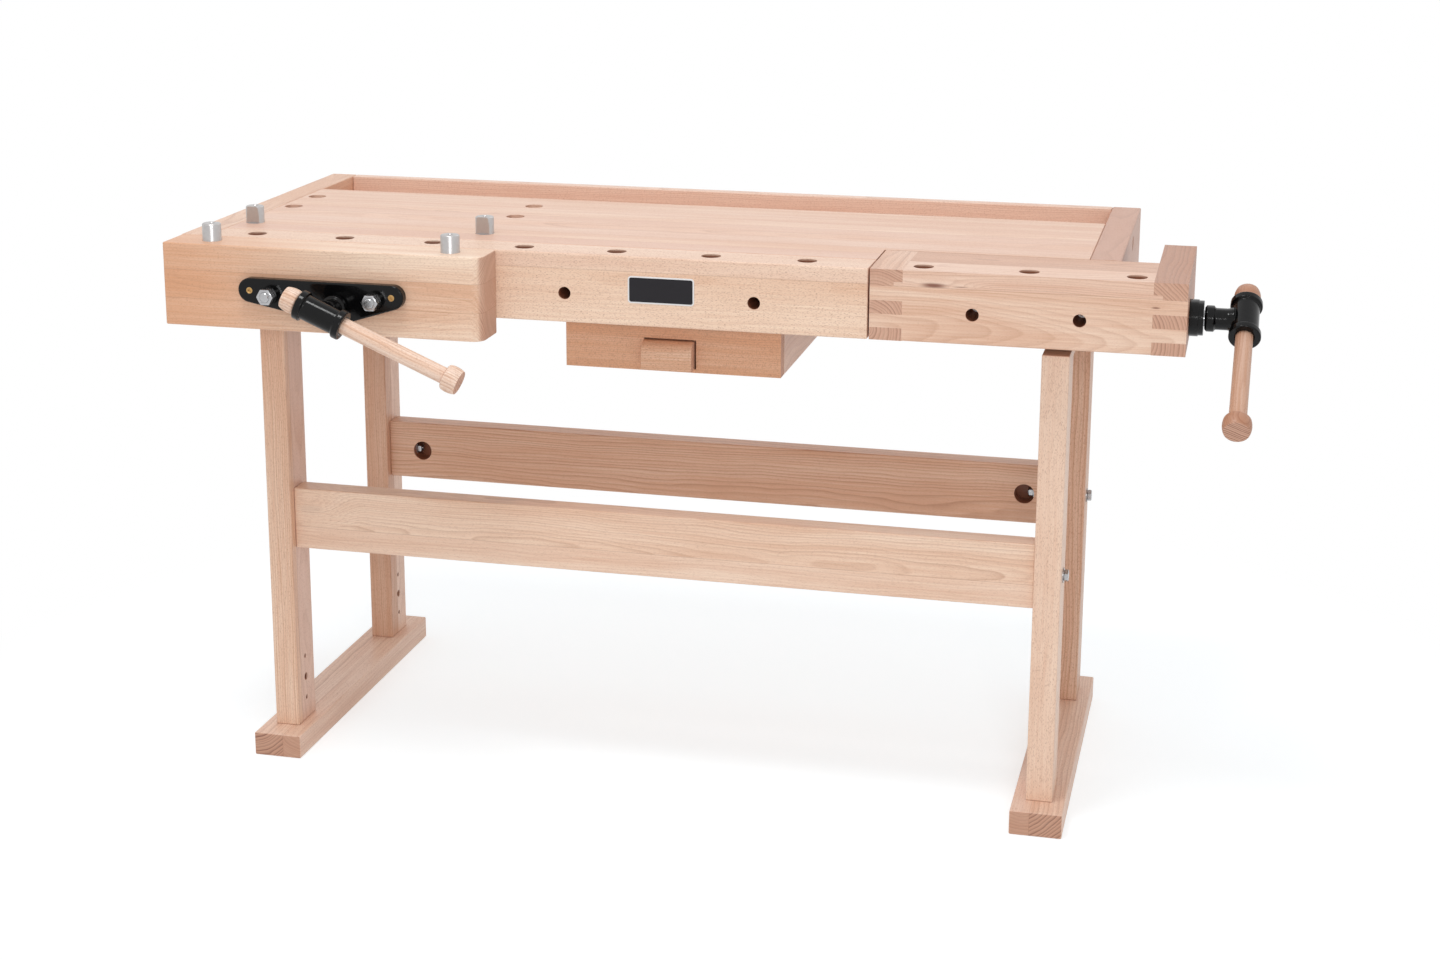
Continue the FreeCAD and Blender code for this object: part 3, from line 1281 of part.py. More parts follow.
def make_drawer():
    """The drawer: its front with the pull, two grooved sides, a back and a floor."""
    pull_left = "pull_middle_inset - pull_width / 2"
    front = board(("drawer_width", "drawer_front_thickness", "drawer_height"), "case_edge")
    recess = box(("pull_width + pull_side_gap", "pull_recess_depth + overrun",
                  "pull_height + pull_finger_gap"),
                 (pull_left, "-overrun", "pull_lift"))
    floor_groove = box(("drawer_box_width - 2 * drawer_side_thickness", "drawer_floor_groove + overrun",
                        "drawer_floor_thickness"),
                       ("case_side_thickness + drawer_side_gap + drawer_side_thickness",
                        "drawer_front_thickness - drawer_floor_groove",
                        "drawer_side_lift + drawer_floor_lift"))
    part("drawer_front", cut(front, [recess, floor_groove]),
         ("drawer_left", "drawer_front_y", "drawer_bottom"))
    pull = rounded(box(("pull_width", "pull_stand + pull_recess_depth", "pull_height")), "pull_round", [10])
    part("drawer_pull", pull,
         (f"drawer_left + {pull_left}", "drawer_front_y - pull_stand", "drawer_bottom + pull_lift"))
    bottom = "drawer_bottom + drawer_side_lift"
    floor_z = "drawer_floor_lift"
    panels = []
    for side in ("left", "right"):
        outer = "-overrun" if side == "left" else "drawer_side_thickness - runner_stand"
        inner = "drawer_side_thickness - drawer_floor_groove" if side == "left" else "-overrun"
        runner_groove = box(("runner_stand + overrun", "drawer_box_depth + 2 * overrun",
                             "runner_height + 2 * drawer_groove_clearance"),
                            (outer, "-overrun", f"runner_z - ({bottom}) - drawer_groove_clearance"))
        groove = box(("drawer_floor_groove + overrun", "drawer_box_depth + 2 * overrun",
                      "drawer_floor_thickness"),
                     (inner, "-overrun", floor_z))
        panel = cut(box(("drawer_side_thickness", "drawer_box_depth", "drawer_side_height")),
                    [runner_groove, groove])
        x = "drawer_box_left" if side == "left" else \
            "drawer_box_left + drawer_box_width - drawer_side_thickness"
        panels.append(at(panel, (x, "drawer_box_y", bottom)))
    group("drawer_sides", panels)
    inner_width = "drawer_box_width - 2 * drawer_side_thickness"
    lift = "drawer_floor_lift + drawer_floor_thickness"
    back = box((inner_width, "drawer_side_thickness", f"drawer_side_height - ({lift})"))
    part("drawer_back", back, ("drawer_box_left + drawer_side_thickness",
                               "drawer_box_y + drawer_box_depth - drawer_side_thickness",
                               f"{bottom} + {lift}"))
    floor = fuse([box((inner_width + " + 2 * drawer_floor_groove", "drawer_box_depth",
                       "drawer_floor_thickness"), ("-drawer_floor_groove", "0", "0")),
                  box((inner_width, "drawer_floor_groove + overrun", "drawer_floor_thickness"),
                      ("0", "-drawer_floor_groove", "0"))])
    part("drawer_floor", floor, ("drawer_box_left + drawer_side_thickness", "drawer_box_y",
                                 f"{bottom} + {floor_z}"))


# --- assembly -------------------------------------------------------------------------------------

def make_bench():
    """Every piece of the bench."""
    make_slab()
    make_front_beam()
    make_rails()
    make_rail_bolts()
    make_name_plate()
    make_battens()
    make_jaw()
    make_casting()
    make_casting_fixings()
    make_screw("front_vise_screw",
               ("front_screw_x", "front_head_y + head_offset - screw_socket_depth", "front_screw_z"),
               "front_face + screw_back_reach - front_head_y - head_offset + screw_socket_depth",
               "jaw_front + thrust_ring_play", "y")
    make_carrier()
    make_tail_beam()
    tail_block("tail_jaw_block", "left", "tail_depth")
    tail_block("tail_end_block", "right", "tail_block_depth")
    make_tail_cover()
    make_tail_flange()
    make_tail_guides()
    make_tail_nut()
    screw_end = "tail_head_x - head_offset + screw_socket_depth"
    make_screw("tail_vise_screw",
               ("tail_block_left - tail_screw_reach", "tail_screw_y", "tail_screw_z"),
               f"{screw_end} - tail_block_left + tail_screw_reach",
               "tail_right + flange_thickness - flange_face_thickness - thrust_ring_width - thrust_ring_play",
               "x")
    make_coach_screws()
    for side in ("front", "tail"):
        make_head(side)
        make_handle(side)
    for side in ("left", "right"):
        x = f"top_left + column_{side}_station"
        make_dog(f"jaw_dog_{side}", x, "jaw_front + jaw_thickness / 2", "back")
        make_dog(f"top_dog_{side}", x, "front_face + column_row_front", "front")
        make_trestle(side)
    make_stretcher("front")
    make_stretcher("back")
    make_base_fixings()
    make_drawer_case()
    make_drawer()


def check_and_write():
    """Stop at anything that failed, then write one file for each piece."""
    doc.recompute()
    for item in doc.Objects:
        if any(state in ("Invalid", "Error") for state in item.State):
            raise RuntimeError(f"{item.Label} failed: {item.State}")
    for piece, count in PARTS:
        shape = piece.Shape
        if shape.isNull() or not shape.isValid():
            raise RuntimeError(f"{piece.Label} has no valid shape")
        if len(shape.Solids) != count:
            raise RuntimeError(f"{piece.Label} has {len(shape.Solids)} solids, not {count}")
    os.makedirs("parts", exist_ok=True)
    for piece, count in PARTS:
        piece.Shape.exportStep(f"parts/{piece.Label}.step")
    print(f"{len(PARTS)} parts written")


make_bench()
check_and_write()
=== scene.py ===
import json
import math
import random
from typing import NamedTuple

import bmesh
import bpy
from bpy.props import FloatProperty, FloatVectorProperty, IntProperty, PointerProperty
from mathutils import Matrix, Vector

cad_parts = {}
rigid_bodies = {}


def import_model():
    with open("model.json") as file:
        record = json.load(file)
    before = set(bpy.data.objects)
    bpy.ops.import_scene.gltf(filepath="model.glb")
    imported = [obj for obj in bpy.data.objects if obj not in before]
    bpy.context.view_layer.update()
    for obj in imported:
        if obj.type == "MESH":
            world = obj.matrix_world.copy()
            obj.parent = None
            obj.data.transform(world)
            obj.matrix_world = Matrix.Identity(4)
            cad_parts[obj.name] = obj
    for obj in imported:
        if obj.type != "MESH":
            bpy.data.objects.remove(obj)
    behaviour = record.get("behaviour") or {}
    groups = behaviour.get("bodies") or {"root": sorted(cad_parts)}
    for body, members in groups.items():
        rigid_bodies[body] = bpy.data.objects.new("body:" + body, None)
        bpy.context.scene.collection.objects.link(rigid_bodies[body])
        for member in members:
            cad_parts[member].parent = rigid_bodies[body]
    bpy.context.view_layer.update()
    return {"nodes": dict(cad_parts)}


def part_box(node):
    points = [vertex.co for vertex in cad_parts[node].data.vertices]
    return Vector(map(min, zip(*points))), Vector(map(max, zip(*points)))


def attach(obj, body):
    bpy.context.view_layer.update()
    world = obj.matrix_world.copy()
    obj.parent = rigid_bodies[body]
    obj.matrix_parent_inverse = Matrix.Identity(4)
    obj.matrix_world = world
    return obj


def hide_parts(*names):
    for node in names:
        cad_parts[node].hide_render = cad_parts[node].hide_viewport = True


for left_over in list(bpy.data.objects):
    bpy.data.objects.remove(left_over)
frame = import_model()

bl_info = {
    "name": "Woodworking Bench",
    "version": (1, 0, 0),
    "blender": (4, 5, 0),
    "location": "View3D > Sidebar > Bench",
    "description": "Finishes and detail pieces of a beech bench with a front vise and a tail vise",
    "category": "Object",
}

MM = 0.001


def colour(red, green, blue):
    """A linear colour from its three display values, 0 to 255."""
    def linear(value):
        value /= 255
        return value / 12.92 if value <= 0.04045 else ((value + 0.055) / 1.055) ** 2.4
    return linear(red), linear(green), linear(blue)


# --- what a user would change ---

def tint(name, description, *display):
    """A colour property."""
    return FloatVectorProperty(name=name, description=description, subtype="COLOR", min=0, max=1,
                               default=colour(*display))


def length(name, description, millimetres):
    """A length property, kept in metres."""
    return FloatProperty(name=name, description=description, default=millimetres * MM, min=0,
                         subtype="DISTANCE", unit="LENGTH")


class BenchColours(bpy.types.PropertyGroup):
    """The colours of the bench's finishes."""
    beech_pale: tint("Pale beech", "Lightest tone of the planed beech", 248, 222, 199)
    beech_warm: tint("Warm beech", "Deeper tone of the planed beech", 226, 183, 153)
    # Also painted sheen and light: mixed into tops and some side faces to make them paler and pinker, as
    # reflected white light and side light do.
    beech_blush: tint("Pink beech", "Beech that was steamed for longer", 226, 188, 172)
    beech_deep: tint("Deep beech", "Darkest tone of the planed beech", 180, 128, 100)
    beech_amber: tint("Amber beech", "Beech with a golden cast", 214, 146, 98)
    growth_line: tint("Growth line", "Late wood at the end of each growth ring", 184, 134, 104)
    fleck: tint("Fleck", "The short dark flecks of beech", 158, 104, 76)
    end_grain: tint("End grain", "Beech cut across its fibres", 196, 146, 122)
    end_pale: tint("Pale end grain", "The lightest beech cut across its fibres", 216, 174, 150)
    knot: tint("Knot", "The heart of a small knot", 122, 70, 50)
    # Painted shade: the walls of bored holes are mixed towards this dark brown, more so deeper inside a
    # board.
    bore: tint("Bored hole", "The wall of a bored hole", 136, 76, 48)
    handle: tint("Handle", "The turned handle wood", 252, 230, 214)
    iron: tint("Painted iron", "Gloss black paint of the castings", 10, 10, 11)
    steel: tint("Steel", "Zinc plated and bright steel", 186, 186, 188)
    aluminium: tint("Aluminium", "The turned bench dogs", 192, 189, 188)
    brass: tint("Brass", "The countersunk wood screws", 196, 158, 104)
    plate_field: tint("Plate", "The dark field of the name plate", 34, 32, 36)
    plate_rim: tint("Plate rim", "The light edge of the name plate", 224, 222, 222)


class BenchDetails(bpy.types.PropertyGroup):
    """Sizes of the small forms."""
    screw_pitch: length("Screw pitch", "Advance of a vise screw in one turn", 6)
    thread_depth: length("Thread depth", "Depth of a vise screw's thread", 2.6)
    bolt_pitch: length("Bolt pitch", "Advance of a bolt thread in one turn", 1.5)
    hexagon_chamfer: length("Hexagon chamfer", "Width of the turned chamfer of a hexagon", 1.4)
    plate_rim_width: length("Plate rim width", "Width of the name plate's light edge", 1.9)
    plate_growth: length("Plate growth", "How much wider and taller the name plate is than its solid", 6)
    plate_corner: length("Plate corner", "Radius of the name plate's corners", 5.5)
    pull_rise: length("Pull rise", "How much taller the drawer pull is than its solid", 7)
    pull_round: length("Pull round", "Radius of the drawer pull's upper front edge", 18)
    bearer_rise: length("Bearer rise", "How much less deep a bearer is than its solid", 52)
    cast_voxel: length("Casting mesh", "Size of the mesh that rounds a casting's inner corners", 0.9)
    round_steps: IntProperty(name="Round steps", description="Sides of a turned piece", default=64, min=12)


class BenchStage(bpy.types.PropertyGroup):
    """Lights and floor."""
    overhead_power: FloatProperty(name="Overhead light", description="Power of the light above",
                                  default=48, unit="POWER", min=0)
    front_power: FloatProperty(name="Front light", description="Power of the light in front", default=45,
                               unit="POWER", min=0)
    back_power: FloatProperty(name="Back light", description="Power of the light behind", default=5,
                              unit="POWER", min=0)
    room_light: FloatProperty(name="Room light", description="Strength of the light from all round",
                              default=0.68, min=0)


# --- sizes in metres that follow the solids ---

TENON_START, PULL_EDGE = 0.1 * MM, 0.8 * MM
DOG_TOP, DOG_BORE, DOG_FLAT = 28 * MM, 3 * MM, 3.5 * MM
SCREW_RADIUS, PLAIN_SHANK = 12 * MM, 60 * MM
RING_RADIUS, RING_WIDTH, RING_EDGE = 19 * MM, 8 * MM, 0.8 * MM
FRONT_RING_GAP, TAIL_RING_GAP = 1 * MM, 8.5 * MM
ROD_RADIUS, STUD_RADIUS, ROD_NUT_FLATS = 10 * MM, 8 * MM, 24 * MM
WOOD_SCREW_HEAD = 5.5 * MM
BOLT_FLATS, BOLT_HEAD, BOLT_RADIUS = 17 * MM, 7 * MM, 5 * MM
NUT_HEIGHT, BOLT_PAST_NUT, STRETCHER_THREAD = 8 * MM, 2 * MM, 30 * MM
RAIL_BOLT_REACH, RAIL_THREAD = 58 * MM, 20 * MM
HEAD_RADIUS, HEAD_REACH = 24 * MM, 60 * MM
# Corners (radius, height) in millimetres: the cross tube with its collars and bore, and the neck.
HEAD_TUBE = ((14.6, -39.5), (23, -39.5), (24, -38.5), (24, -29.8), (23.2, -28.6), (20.6, -28),
             (20, -26.5), (20, 26.5), (20.6, 28), (23.2, 28.6), (24, 29.8), (24, 38.5), (23, 39.5),
             (14.6, 39.5), (13.8, 38.6), (13.8, -38.6))
HEAD_NECK = ((0, 0), (16.6, 0), (17.4, 0.6), (17.4, 1.6), (19, 1.9), (20, 3), (20, 13.2), (19, 14.4),
             (17.2, 15), (16.5, 16.5), (16.5, 34), (17.6, 38), (19, 43), (0, 43.5))
# The smooth angle of hexagons in degrees, the slope of a dog's flat, and how the handles and the tail
# vise's head stand at rest.
HEXAGON_SMOOTH = 25
DOG_LEAN = math.tan(math.radians(3))
FRONT_HANDLE = Matrix.Rotation(math.radians(-90), 3, "Z") @ Matrix.Rotation(math.radians(67), 3, "X")
TAIL_HEAD = Matrix.Rotation(math.radians(-61), 3, "X")
TAIL_HANDLE = Matrix.Rotation(math.radians(1.1), 3, "Y") @ TAIL_HEAD


# --- shader vocabulary ---

def two_terms(operation, swapped=False):
    """The method that works out this operation on a signal and another term, or on those swapped."""
    def method(self, other):
        return self.maths(operation, *((other, self) if swapped else (self, other)))
    return method


class Signal:
    """A socket of a finish that takes part in Python expressions."""

    def __init__(self, finish, socket):
        self.finish = finish
        self.socket = socket

    def of(self, name):
        """Another output of the same node."""
        return Signal(self.finish, self.socket.node.outputs[name])

    def maths(self, operation, *terms):
        """A Math node on these terms."""
        return self.finish.add("Math", {"operation": operation}, dict(enumerate(terms)))

    __add__ = __radd__ = two_terms("ADD")
    __sub__, __rsub__ = two_terms("SUBTRACT"), two_terms("SUBTRACT", swapped=True)
    __mul__ = __rmul__ = two_terms("MULTIPLY")
    __truediv__, __rtruediv__ = two_terms("DIVIDE"), two_terms("DIVIDE", swapped=True)
    __pow__ = two_terms("POWER")

    def __abs__(self):
        return self.maths("ABSOLUTE", self)

    def floor(self):
        """The whole number below."""
        return self.maths("FLOOR", self)

    def root(self):
        """The square root."""
        return self.maths("SQRT", self)

    def above(self, level):
        """1 above a level, otherwise 0."""
        return self.maths("GREATER_THAN", self, level)

    def least(self, other):
        """The smaller of two."""
        return self.maths("MINIMUM", self, other)

    def most(self, other):
        """The larger of two."""
        return self.maths("MAXIMUM", self, other)

    def ramp(self, low, high):
        """A smooth step from 0 at low to 1 at high."""
        return self.finish.add("MapRange", {"interpolation_type": "SMOOTHSTEP"},
                               {"Value": self, "From Min": low, "From Max": high})


class Finish:
    """One material, or one world, under construction."""

    def __init__(self, name, shelf=None):
        self.material = (bpy.data.materials if shelf is None else shelf).new(name)
        self.material.use_nodes = True
        self.tree = self.material.node_tree
        self.tree.nodes.clear()

    def add(self, kind, settings=None, inputs=None, output=0):
        """A node of a kind, with its settings made first and then its sockets' values or links."""
        node = self.tree.nodes.new("ShaderNode" + kind)
        for key, value in (settings or {}).items():
            setattr(node, key, value)
        for key, value in (inputs or {}).items():
            if isinstance(value, Signal):
                self.tree.links.new(value.socket, node.inputs[key])
            else:
                node.inputs[key].default_value = value
        return Signal(self, node.outputs[output]) if node.outputs else None

    def mix(self, factor, first, second):
        """A colour between two colours."""
        first, second = (value if isinstance(value, Signal) else (*value, 1) for value in (first, second))
        return self.add("Mix", {"data_type": "RGBA"}, {0: factor, 6: first, 7: second}, output=2)

    def point(self, x, y, z):
        """A vector from three values."""
        return self.add("CombineXYZ", {}, {0: x, 1: y, 2: z})

    def tinged(self, amount, first, second):
        """A colour between two colours, or the first one where the amount is nothing."""
        return self.mix(amount, first, second) if isinstance(amount, Signal) or amount else first

    def place(self, centre=(0, 0, 0), turn=Matrix.Identity(3)):
        """Object coordinates in millimetres, from a centre and along the axes of a turn."""
        return self.add("Mapping", {"vector_type": "POINT"},
                        {"Vector": self.add("TexCoord", output="Object"),
                         "Location": -(turn @ (Vector(centre) / MM)), "Rotation": turn.to_euler("XYZ"),
                         "Scale": (1 / MM, 1 / MM, 1 / MM)})

    def noise(self, vector, detail=2.0, roughness=0.5, scale=1.0, output="Fac"):
        """Soft noise with features about one unit wide."""
        return self.add("TexNoise", {"noise_dimensions": "3D"},
                        {"Vector": vector, "Scale": scale, "Detail": detail, "Roughness": roughness}, output)

    def chance(self, number, output="Value"):
        """A random value for each whole number."""
        return self.add("TexWhiteNoise", {"noise_dimensions": "1D"}, {"W": number}, output)

    def parts(self, vector):
        """The three values of a vector."""
        split = self.add("SeparateXYZ", {}, {"Vector": vector})
        return split, split.of("Y"), split.of("Z")

    def facing(self, direction):
        """How far the surface faces a direction, from -1 to 1."""
        return self.add("VectorMath", {"operation": "DOT_PRODUCT"},
                        {0: self.add("TexCoord", output="Normal"), 1: direction}, "Value")

    def bump(self, height, depth, strength=1.0):
        """A normal from a height between 0 and 1, for a relief of a depth in metres."""
        return self.add("Bump", {}, {"Height": height, "Distance": depth, "Strength": strength})

    def shaded(self, shader):
        """The finished material, which shows a shader."""
        self.add("OutputWorld" if isinstance(self.material, bpy.types.World) else "OutputMaterial", {},
                 {"Surface": shader})
        return self.material

    def surface(self, values):
        """The finished material with a principled surface."""
        return self.shaded(self.add("BsdfPrincipled", {}, values))


# --- finishes ---

GRAIN = {
    "x": Matrix.Identity(3),
    "y": Matrix.Rotation(math.radians(-90), 3, "Z"),
    "z": Matrix.Rotation(math.radians(90), 3, "Y"),
}


class Plank(NamedTuple):
    """How one plank was sawn from its log, and how it looks."""
    heart: tuple = (6.0, -70.0)
    lean: tuple = (0.0, 0.012)
    figure: float = 0.5
    tone: float = 0.0
    # The pink tone is partly the wood's own and partly painted sheen and light on tops and side faces.
    blush: float = 0.0
    deep: float = 0.0
    amber: float = 0.0
    ends: float = 1.0


class Beech(Finish):
    """Beech under construction: u runs along the fibres, v and w across them, all in millimetres."""
    # How far the rings wander and wave, how many years they drift, and how far a knot pushes them.
    wander_reach = 18
    wave_reach = 3.4
    year_spread = 3
    knot_swell = 2.6

    def __init__(self, name, centre, turn, seed, planks):
        super().__init__(name)
        self.colours = bpy.context.scene.bench_colours
        self.turn = turn
        self.planks = planks
        self.offset = random.Random(seed).uniform(100, 900)
        self.u, self.v, self.w = self.parts(self.place(centre, turn))
        # The steps from plank to plank, how near the next seam is, and a strip's three chances.
        self.steps, self.seam, self.strip = [], None, None

    def each(self, field, index=None):
        """A value that each plank has of its own."""
        values = [getattr(plank, field) for plank in self.planks]
        if index is not None:
            values = [value[index] for value in values]
        total = values[0]
        for step, near, far in zip(self.steps, values, values[1:]):
            total = step * (far - near) + total
        return total

    def glue(self, seams, strips):
        """Find where one plank or strip ends and the next begins."""
        if seams:
            axis, places = seams
            cross = self.v if axis == "v" else self.w
            self.steps = [cross.above(place) for place in places]
            for place in places:
                apart = abs(cross - place)
                self.seam = apart if self.seam is None else self.seam.least(apart)
        if strips:
            axis, width, shift = strips
            cross = (self.v if axis == "v" else self.w) + shift
            number = (cross / width).floor()
            self.strip = self.parts(self.chance(number + self.offset, "Color"))
            self.seam = width / 2 - abs(cross - (number + 0.5) * width)

    def grow(self, ring, knots):
        """Work out the fibres, growth rings, knots, pores and rays."""
        u, v, w, offset = self.u, self.v, self.w, self.offset
        shift = sum((step * (37.0 * number) for number, step in enumerate(self.steps, 1)), offset)
        wander = self.noise(self.point(u / 300 + shift, v / 80, w / 80), 1, output="Color")
        wave = self.noise(self.point(u / 70 + shift, v / 24, w / 24), 1) - 0.5
        wander_v, wander_w, self.cloud = self.parts(wander)
        across = v - self.each("heart", 0) - u * self.each("lean", 0) + (wander_v - 0.5) * self.wander_reach
        depth = w - self.each("heart", 1) - u * self.each("lean", 1) + (wander_w - 0.5) * self.wander_reach
        if self.strip:
            across = across + (self.strip[0] - 0.5) * 130 + u * (self.strip[2] - 0.5) * 0.03
            depth = depth + (self.strip[1] - 0.5) * 60
        self.fibre = self.noise(self.point(u / 120 + shift, v / 2.4, w / 2.4), 3, 0.65)
        self.knot = 0.0
        for knot_u, knot_w, half_u, half_w, dark in knots:
            from_u, from_w = (u - knot_u) / half_u, (w - knot_w) / half_w
            spread = (from_u * from_u + from_w * from_w).root() + (self.fibre - 0.5) * 0.8
            depth = depth + (1 - (spread / 4).ramp(0.1, 1)) * (half_w * self.knot_swell)
            self.knot = (1 - spread.ramp(0.25, 1.15)) * dark + self.knot
        radius = (across * across + depth * depth).root()
        year = (radius + wave * self.wave_reach) / ring
        year = year + self.noise(self.point(radius / 21, offset, 0.5), 1) * self.year_spread
        whole = year.floor()
        self.season = year - whole
        late = self.season ** 3 * (1 - self.season.ramp(0.86, 1))
        self.late = late * (0.4 + self.chance(whole + offset) * 0.9)
        self.band = self.noise(self.point(radius / 15 + offset, u / 900, 0.2), 2) - 0.5

        flat = abs(self.facing(self.turn[1]) * across + self.facing(self.turn[2]) * depth) / radius
        self.pore = self.noise(self.point(u / 3.4 + shift, v / 0.85, w / 0.85), 0).ramp(0.6, 0.72)
        silver = self.noise(self.point(u / 2.1 + shift, radius / 9, (v + w) / 2.6), 1).ramp(0.46, 0.72)
        self.silver = silver * (1 - flat.ramp(0.35, 0.85))
        angle = self.add("Math", {"operation": "ARCTAN2"}, {0: across, 1: depth})
        self.ray = self.noise(self.point(angle * radius / 0.8, radius / 9, offset), 1).ramp(0.5, 0.8)

    def planed(self, pale, streak, stain, mottle, flecks):
        """The colour of the faces along the fibres."""
        colours, strip = self.colours, self.strip
        tone = 0.5 - self.each("tone") + (self.band + self.fibre - 0.5) * streak
        tone = tone + (self.cloud - 0.5) * 0.7 + self.season * 0.1
        if strip:
            tone = tone + (strip[1] - 0.5) * 0.5
        # Painted sheen in part: the pink tone pales tops and side faces as reflected light would; the strips
        # add a random pink of their own.
        blush = self.each("blush") + (strip[2] * 0.4 if strip else 0.0)
        deep = self.each("deep")
        amber = self.each("amber")
        # The colour turns darker and more amber towards one end along the fibres.
        if stain:
            start, end, depth = stain
            amber = (1 - self.u.ramp(start, end)) * depth + amber
        shown = self.mix(tone, pale or colours.beech_pale, colours.beech_warm)
        for amount, other in ((blush, colours.beech_blush), (deep, colours.beech_deep),
                              (amber, colours.beech_amber)):
            shown = self.tinged(amount, shown, other)
        lines = self.tinged(deep, colours.growth_line, colours.fleck)
        shown = self.mix(self.late * (self.each("figure") * 1.1), shown, lines)
        shown = self.mix(self.silver * (mottle * 0.3), shown, colours.growth_line)
        return self.mix(self.pore * flecks, shown, colours.fleck)

    def sawn(self, end_deep):
        """The colour of the ends, across the fibres."""
        colours = self.colours
        cut = self.mix(0.35 + self.band * 0.8 + (self.cloud - 0.5) * 0.4, colours.end_pale, colours.end_grain)
        cut = self.tinged(end_deep, cut, colours.beech_deep)
        cut = self.mix(self.late * (self.each("ends") * 0.65) + self.season * 0.1, cut, colours.knot)
        return self.mix(self.ray * 0.2, cut, colours.beech_pale)


def beech(name, centre, turn, seed, planks=(Plank(),), seams=None, strips=None, knots=(), pale=None,
          flecks=0.3, mottle=0.5, ring=3.3, end_deep=0.0, stain=None, streak=2.0, half=None, bored=0.0):
    """Planed beech whose fibres run along the first axis of a turn, in millimetres from a centre.

    seams is (axis, places) where planks are glued together. strips is (axis, width, shift) for many
    equal planks that follow the first one and differ by chance. A knot is (u, w, half length, half
    height, depth of colour). stain is (from, to, depth of colour) along the fibres, where the
    colour turns darker and more amber towards one end. streak is how much the colour varies across the
    fibres. bored is how strongly painted shade darkens the walls of the holes in a board of the given
    half sizes. pale is the lightest tone, where it isn't that of the other boards.
    """
    wood = Beech(name, centre, turn, seed, planks)
    wood.glue(seams, strips)
    wood.grow(ring, knots)
    end_cut = abs(wood.facing(turn[0])).ramp(0.55, 0.85)
    shown = wood.mix(end_cut * 0.9, wood.planed(pale, streak, stain, mottle, flecks), wood.sawn(end_deep))
    relief = wood.fibre * 0.5 - wood.pore * 0.6 - wood.late * 0.5
    if wood.seam is not None:
        line = 1 - wood.seam.ramp(0.15, 0.75)
        shown = wood.mix(line * 0.34, shown, wood.colours.fleck)
        relief = relief - line * 0.7
    if knots:
        shown = wood.mix(wood.knot * (1 - end_cut), shown, wood.colours.knot)
    # Painted shade inside the holes: the deeper a point lies inside the board's box, the more it takes the
    # dark hole colour.
    if bored:
        inner = (half[0] - abs(wood.u)).least(half[1] - abs(wood.v)).least(half[2] - abs(wood.w))
        shown = wood.mix(inner.ramp(0.3, 4) * bored, shown, wood.colours.bore)
    roughness = 0.42 + (wood.cloud - 0.5) * 0.16 + wood.pore * 0.1 - wood.late * 0.06 + end_cut * 0.16
    return wood.surface({
        "Base Color": shown,
        "Roughness": roughness,
        "Normal": wood.bump(relief, 0.12 * MM, 0.5),
        "Specular IOR Level": 0.55,
    })


def painted_iron(name):
    """Gloss black paint over sand-cast iron."""
    finish = Finish(name)
    where = finish.place()
    lump = finish.noise(where, scale=0.22)
    skin = finish.noise(where, scale=1.3)
    dust = finish.noise(where, 3).ramp(0.62, 0.8)
    return finish.surface({
        "Base Color": finish.mix(dust * 0.1, bpy.context.scene.bench_colours.iron, colour(62, 60, 60)),
        "Roughness": 0.07 + lump * 0.12 + dust * 0.1,
        "Normal": finish.bump(lump * 0.85 + skin * 0.15, 0.5 * MM, 0.4),
        "Coat Weight": 0.06 + lump * 0.1,
        "Coat Roughness": 0.03,
        "Specular IOR Level": 0.17,
    })


def bright_metal(name, metal, roughness, turn, centre, ridge=0.35):
    """Machined metal, named by its colour: fine turning marks round the first axis of a turn."""
    base = tuple(getattr(bpy.context.scene.bench_colours, metal))
    finish = Finish(name)
    u, v, w = finish.parts(finish.place(centre, turn))
    radius = (v * v + w * w).root()
    marks = finish.noise(finish.point(u * 5.5, radius * 5.5, 0.0), 3, 0.7)
    cloud = finish.noise(finish.point(u / 7, v / 7, w / 7), 3)
    return finish.surface({
        "Base Color": finish.mix(cloud.ramp(0.3, 0.8) * 0.22, base, [value * 0.62 for value in base]),
        "Metallic": 1.0,
        "Roughness": roughness + (cloud - 0.5) * 0.16 + (marks - 0.5) * 0.12,
        "Normal": finish.bump(marks, 0.06 * MM, ridge),
    })


def zinc(name):
    """Zinc plated steel with a faint spangle."""
    finish = Finish(name)
    where = finish.place()
    cell = finish.add("TexVoronoi", {"feature": "F1"}, {"Vector": where, "Scale": 0.45}, "Color")
    level = finish.add("SeparateColor", {}, {"Color": cell})
    cloud = finish.noise(where, 3, scale=0.12)
    steel = bpy.context.scene.bench_colours.steel
    return finish.surface({
        "Base Color": finish.mix(level * 0.2 + (cloud - 0.5) * 0.3, steel, colour(150, 150, 154)),
        "Metallic": 1.0,
        "Roughness": 0.24 + level * 0.08 + (cloud - 0.5) * 0.2,
        "Normal": finish.bump(finish.noise(where), 0.05 * MM, 0.4),
    })


def plate_paint(name, base, roughness, gloss):
    """Paint on thin sheet."""
    finish = Finish(name)
    where = finish.place()
    grain = finish.noise(where, 3)
    cloud = finish.noise(where, scale=0.04)
    lighter = [min(1, value * 1.5 + 0.01) for value in base]
    return finish.surface({
        "Base Color": finish.mix((grain - 0.4) * 0.5 + cloud * 0.2, base, lighter),
        "Metallic": 0.0,
        "Roughness": roughness + (cloud - 0.5) * 0.12 + (grain - 0.5) * 0.08,
        "Normal": finish.bump(grain, 0.04 * MM, 0.4),
        "Specular IOR Level": gloss,
    })


# --- mesh vocabulary ---

def mm(*corners):
    """Corners in metres from corners in millimetres."""
    return [tuple(value * MM for value in corner) for corner in corners]


def everything(bm):
    """All the geometry of a mesh."""
    return bm.verts[:] + bm.edges[:] + bm.faces[:]


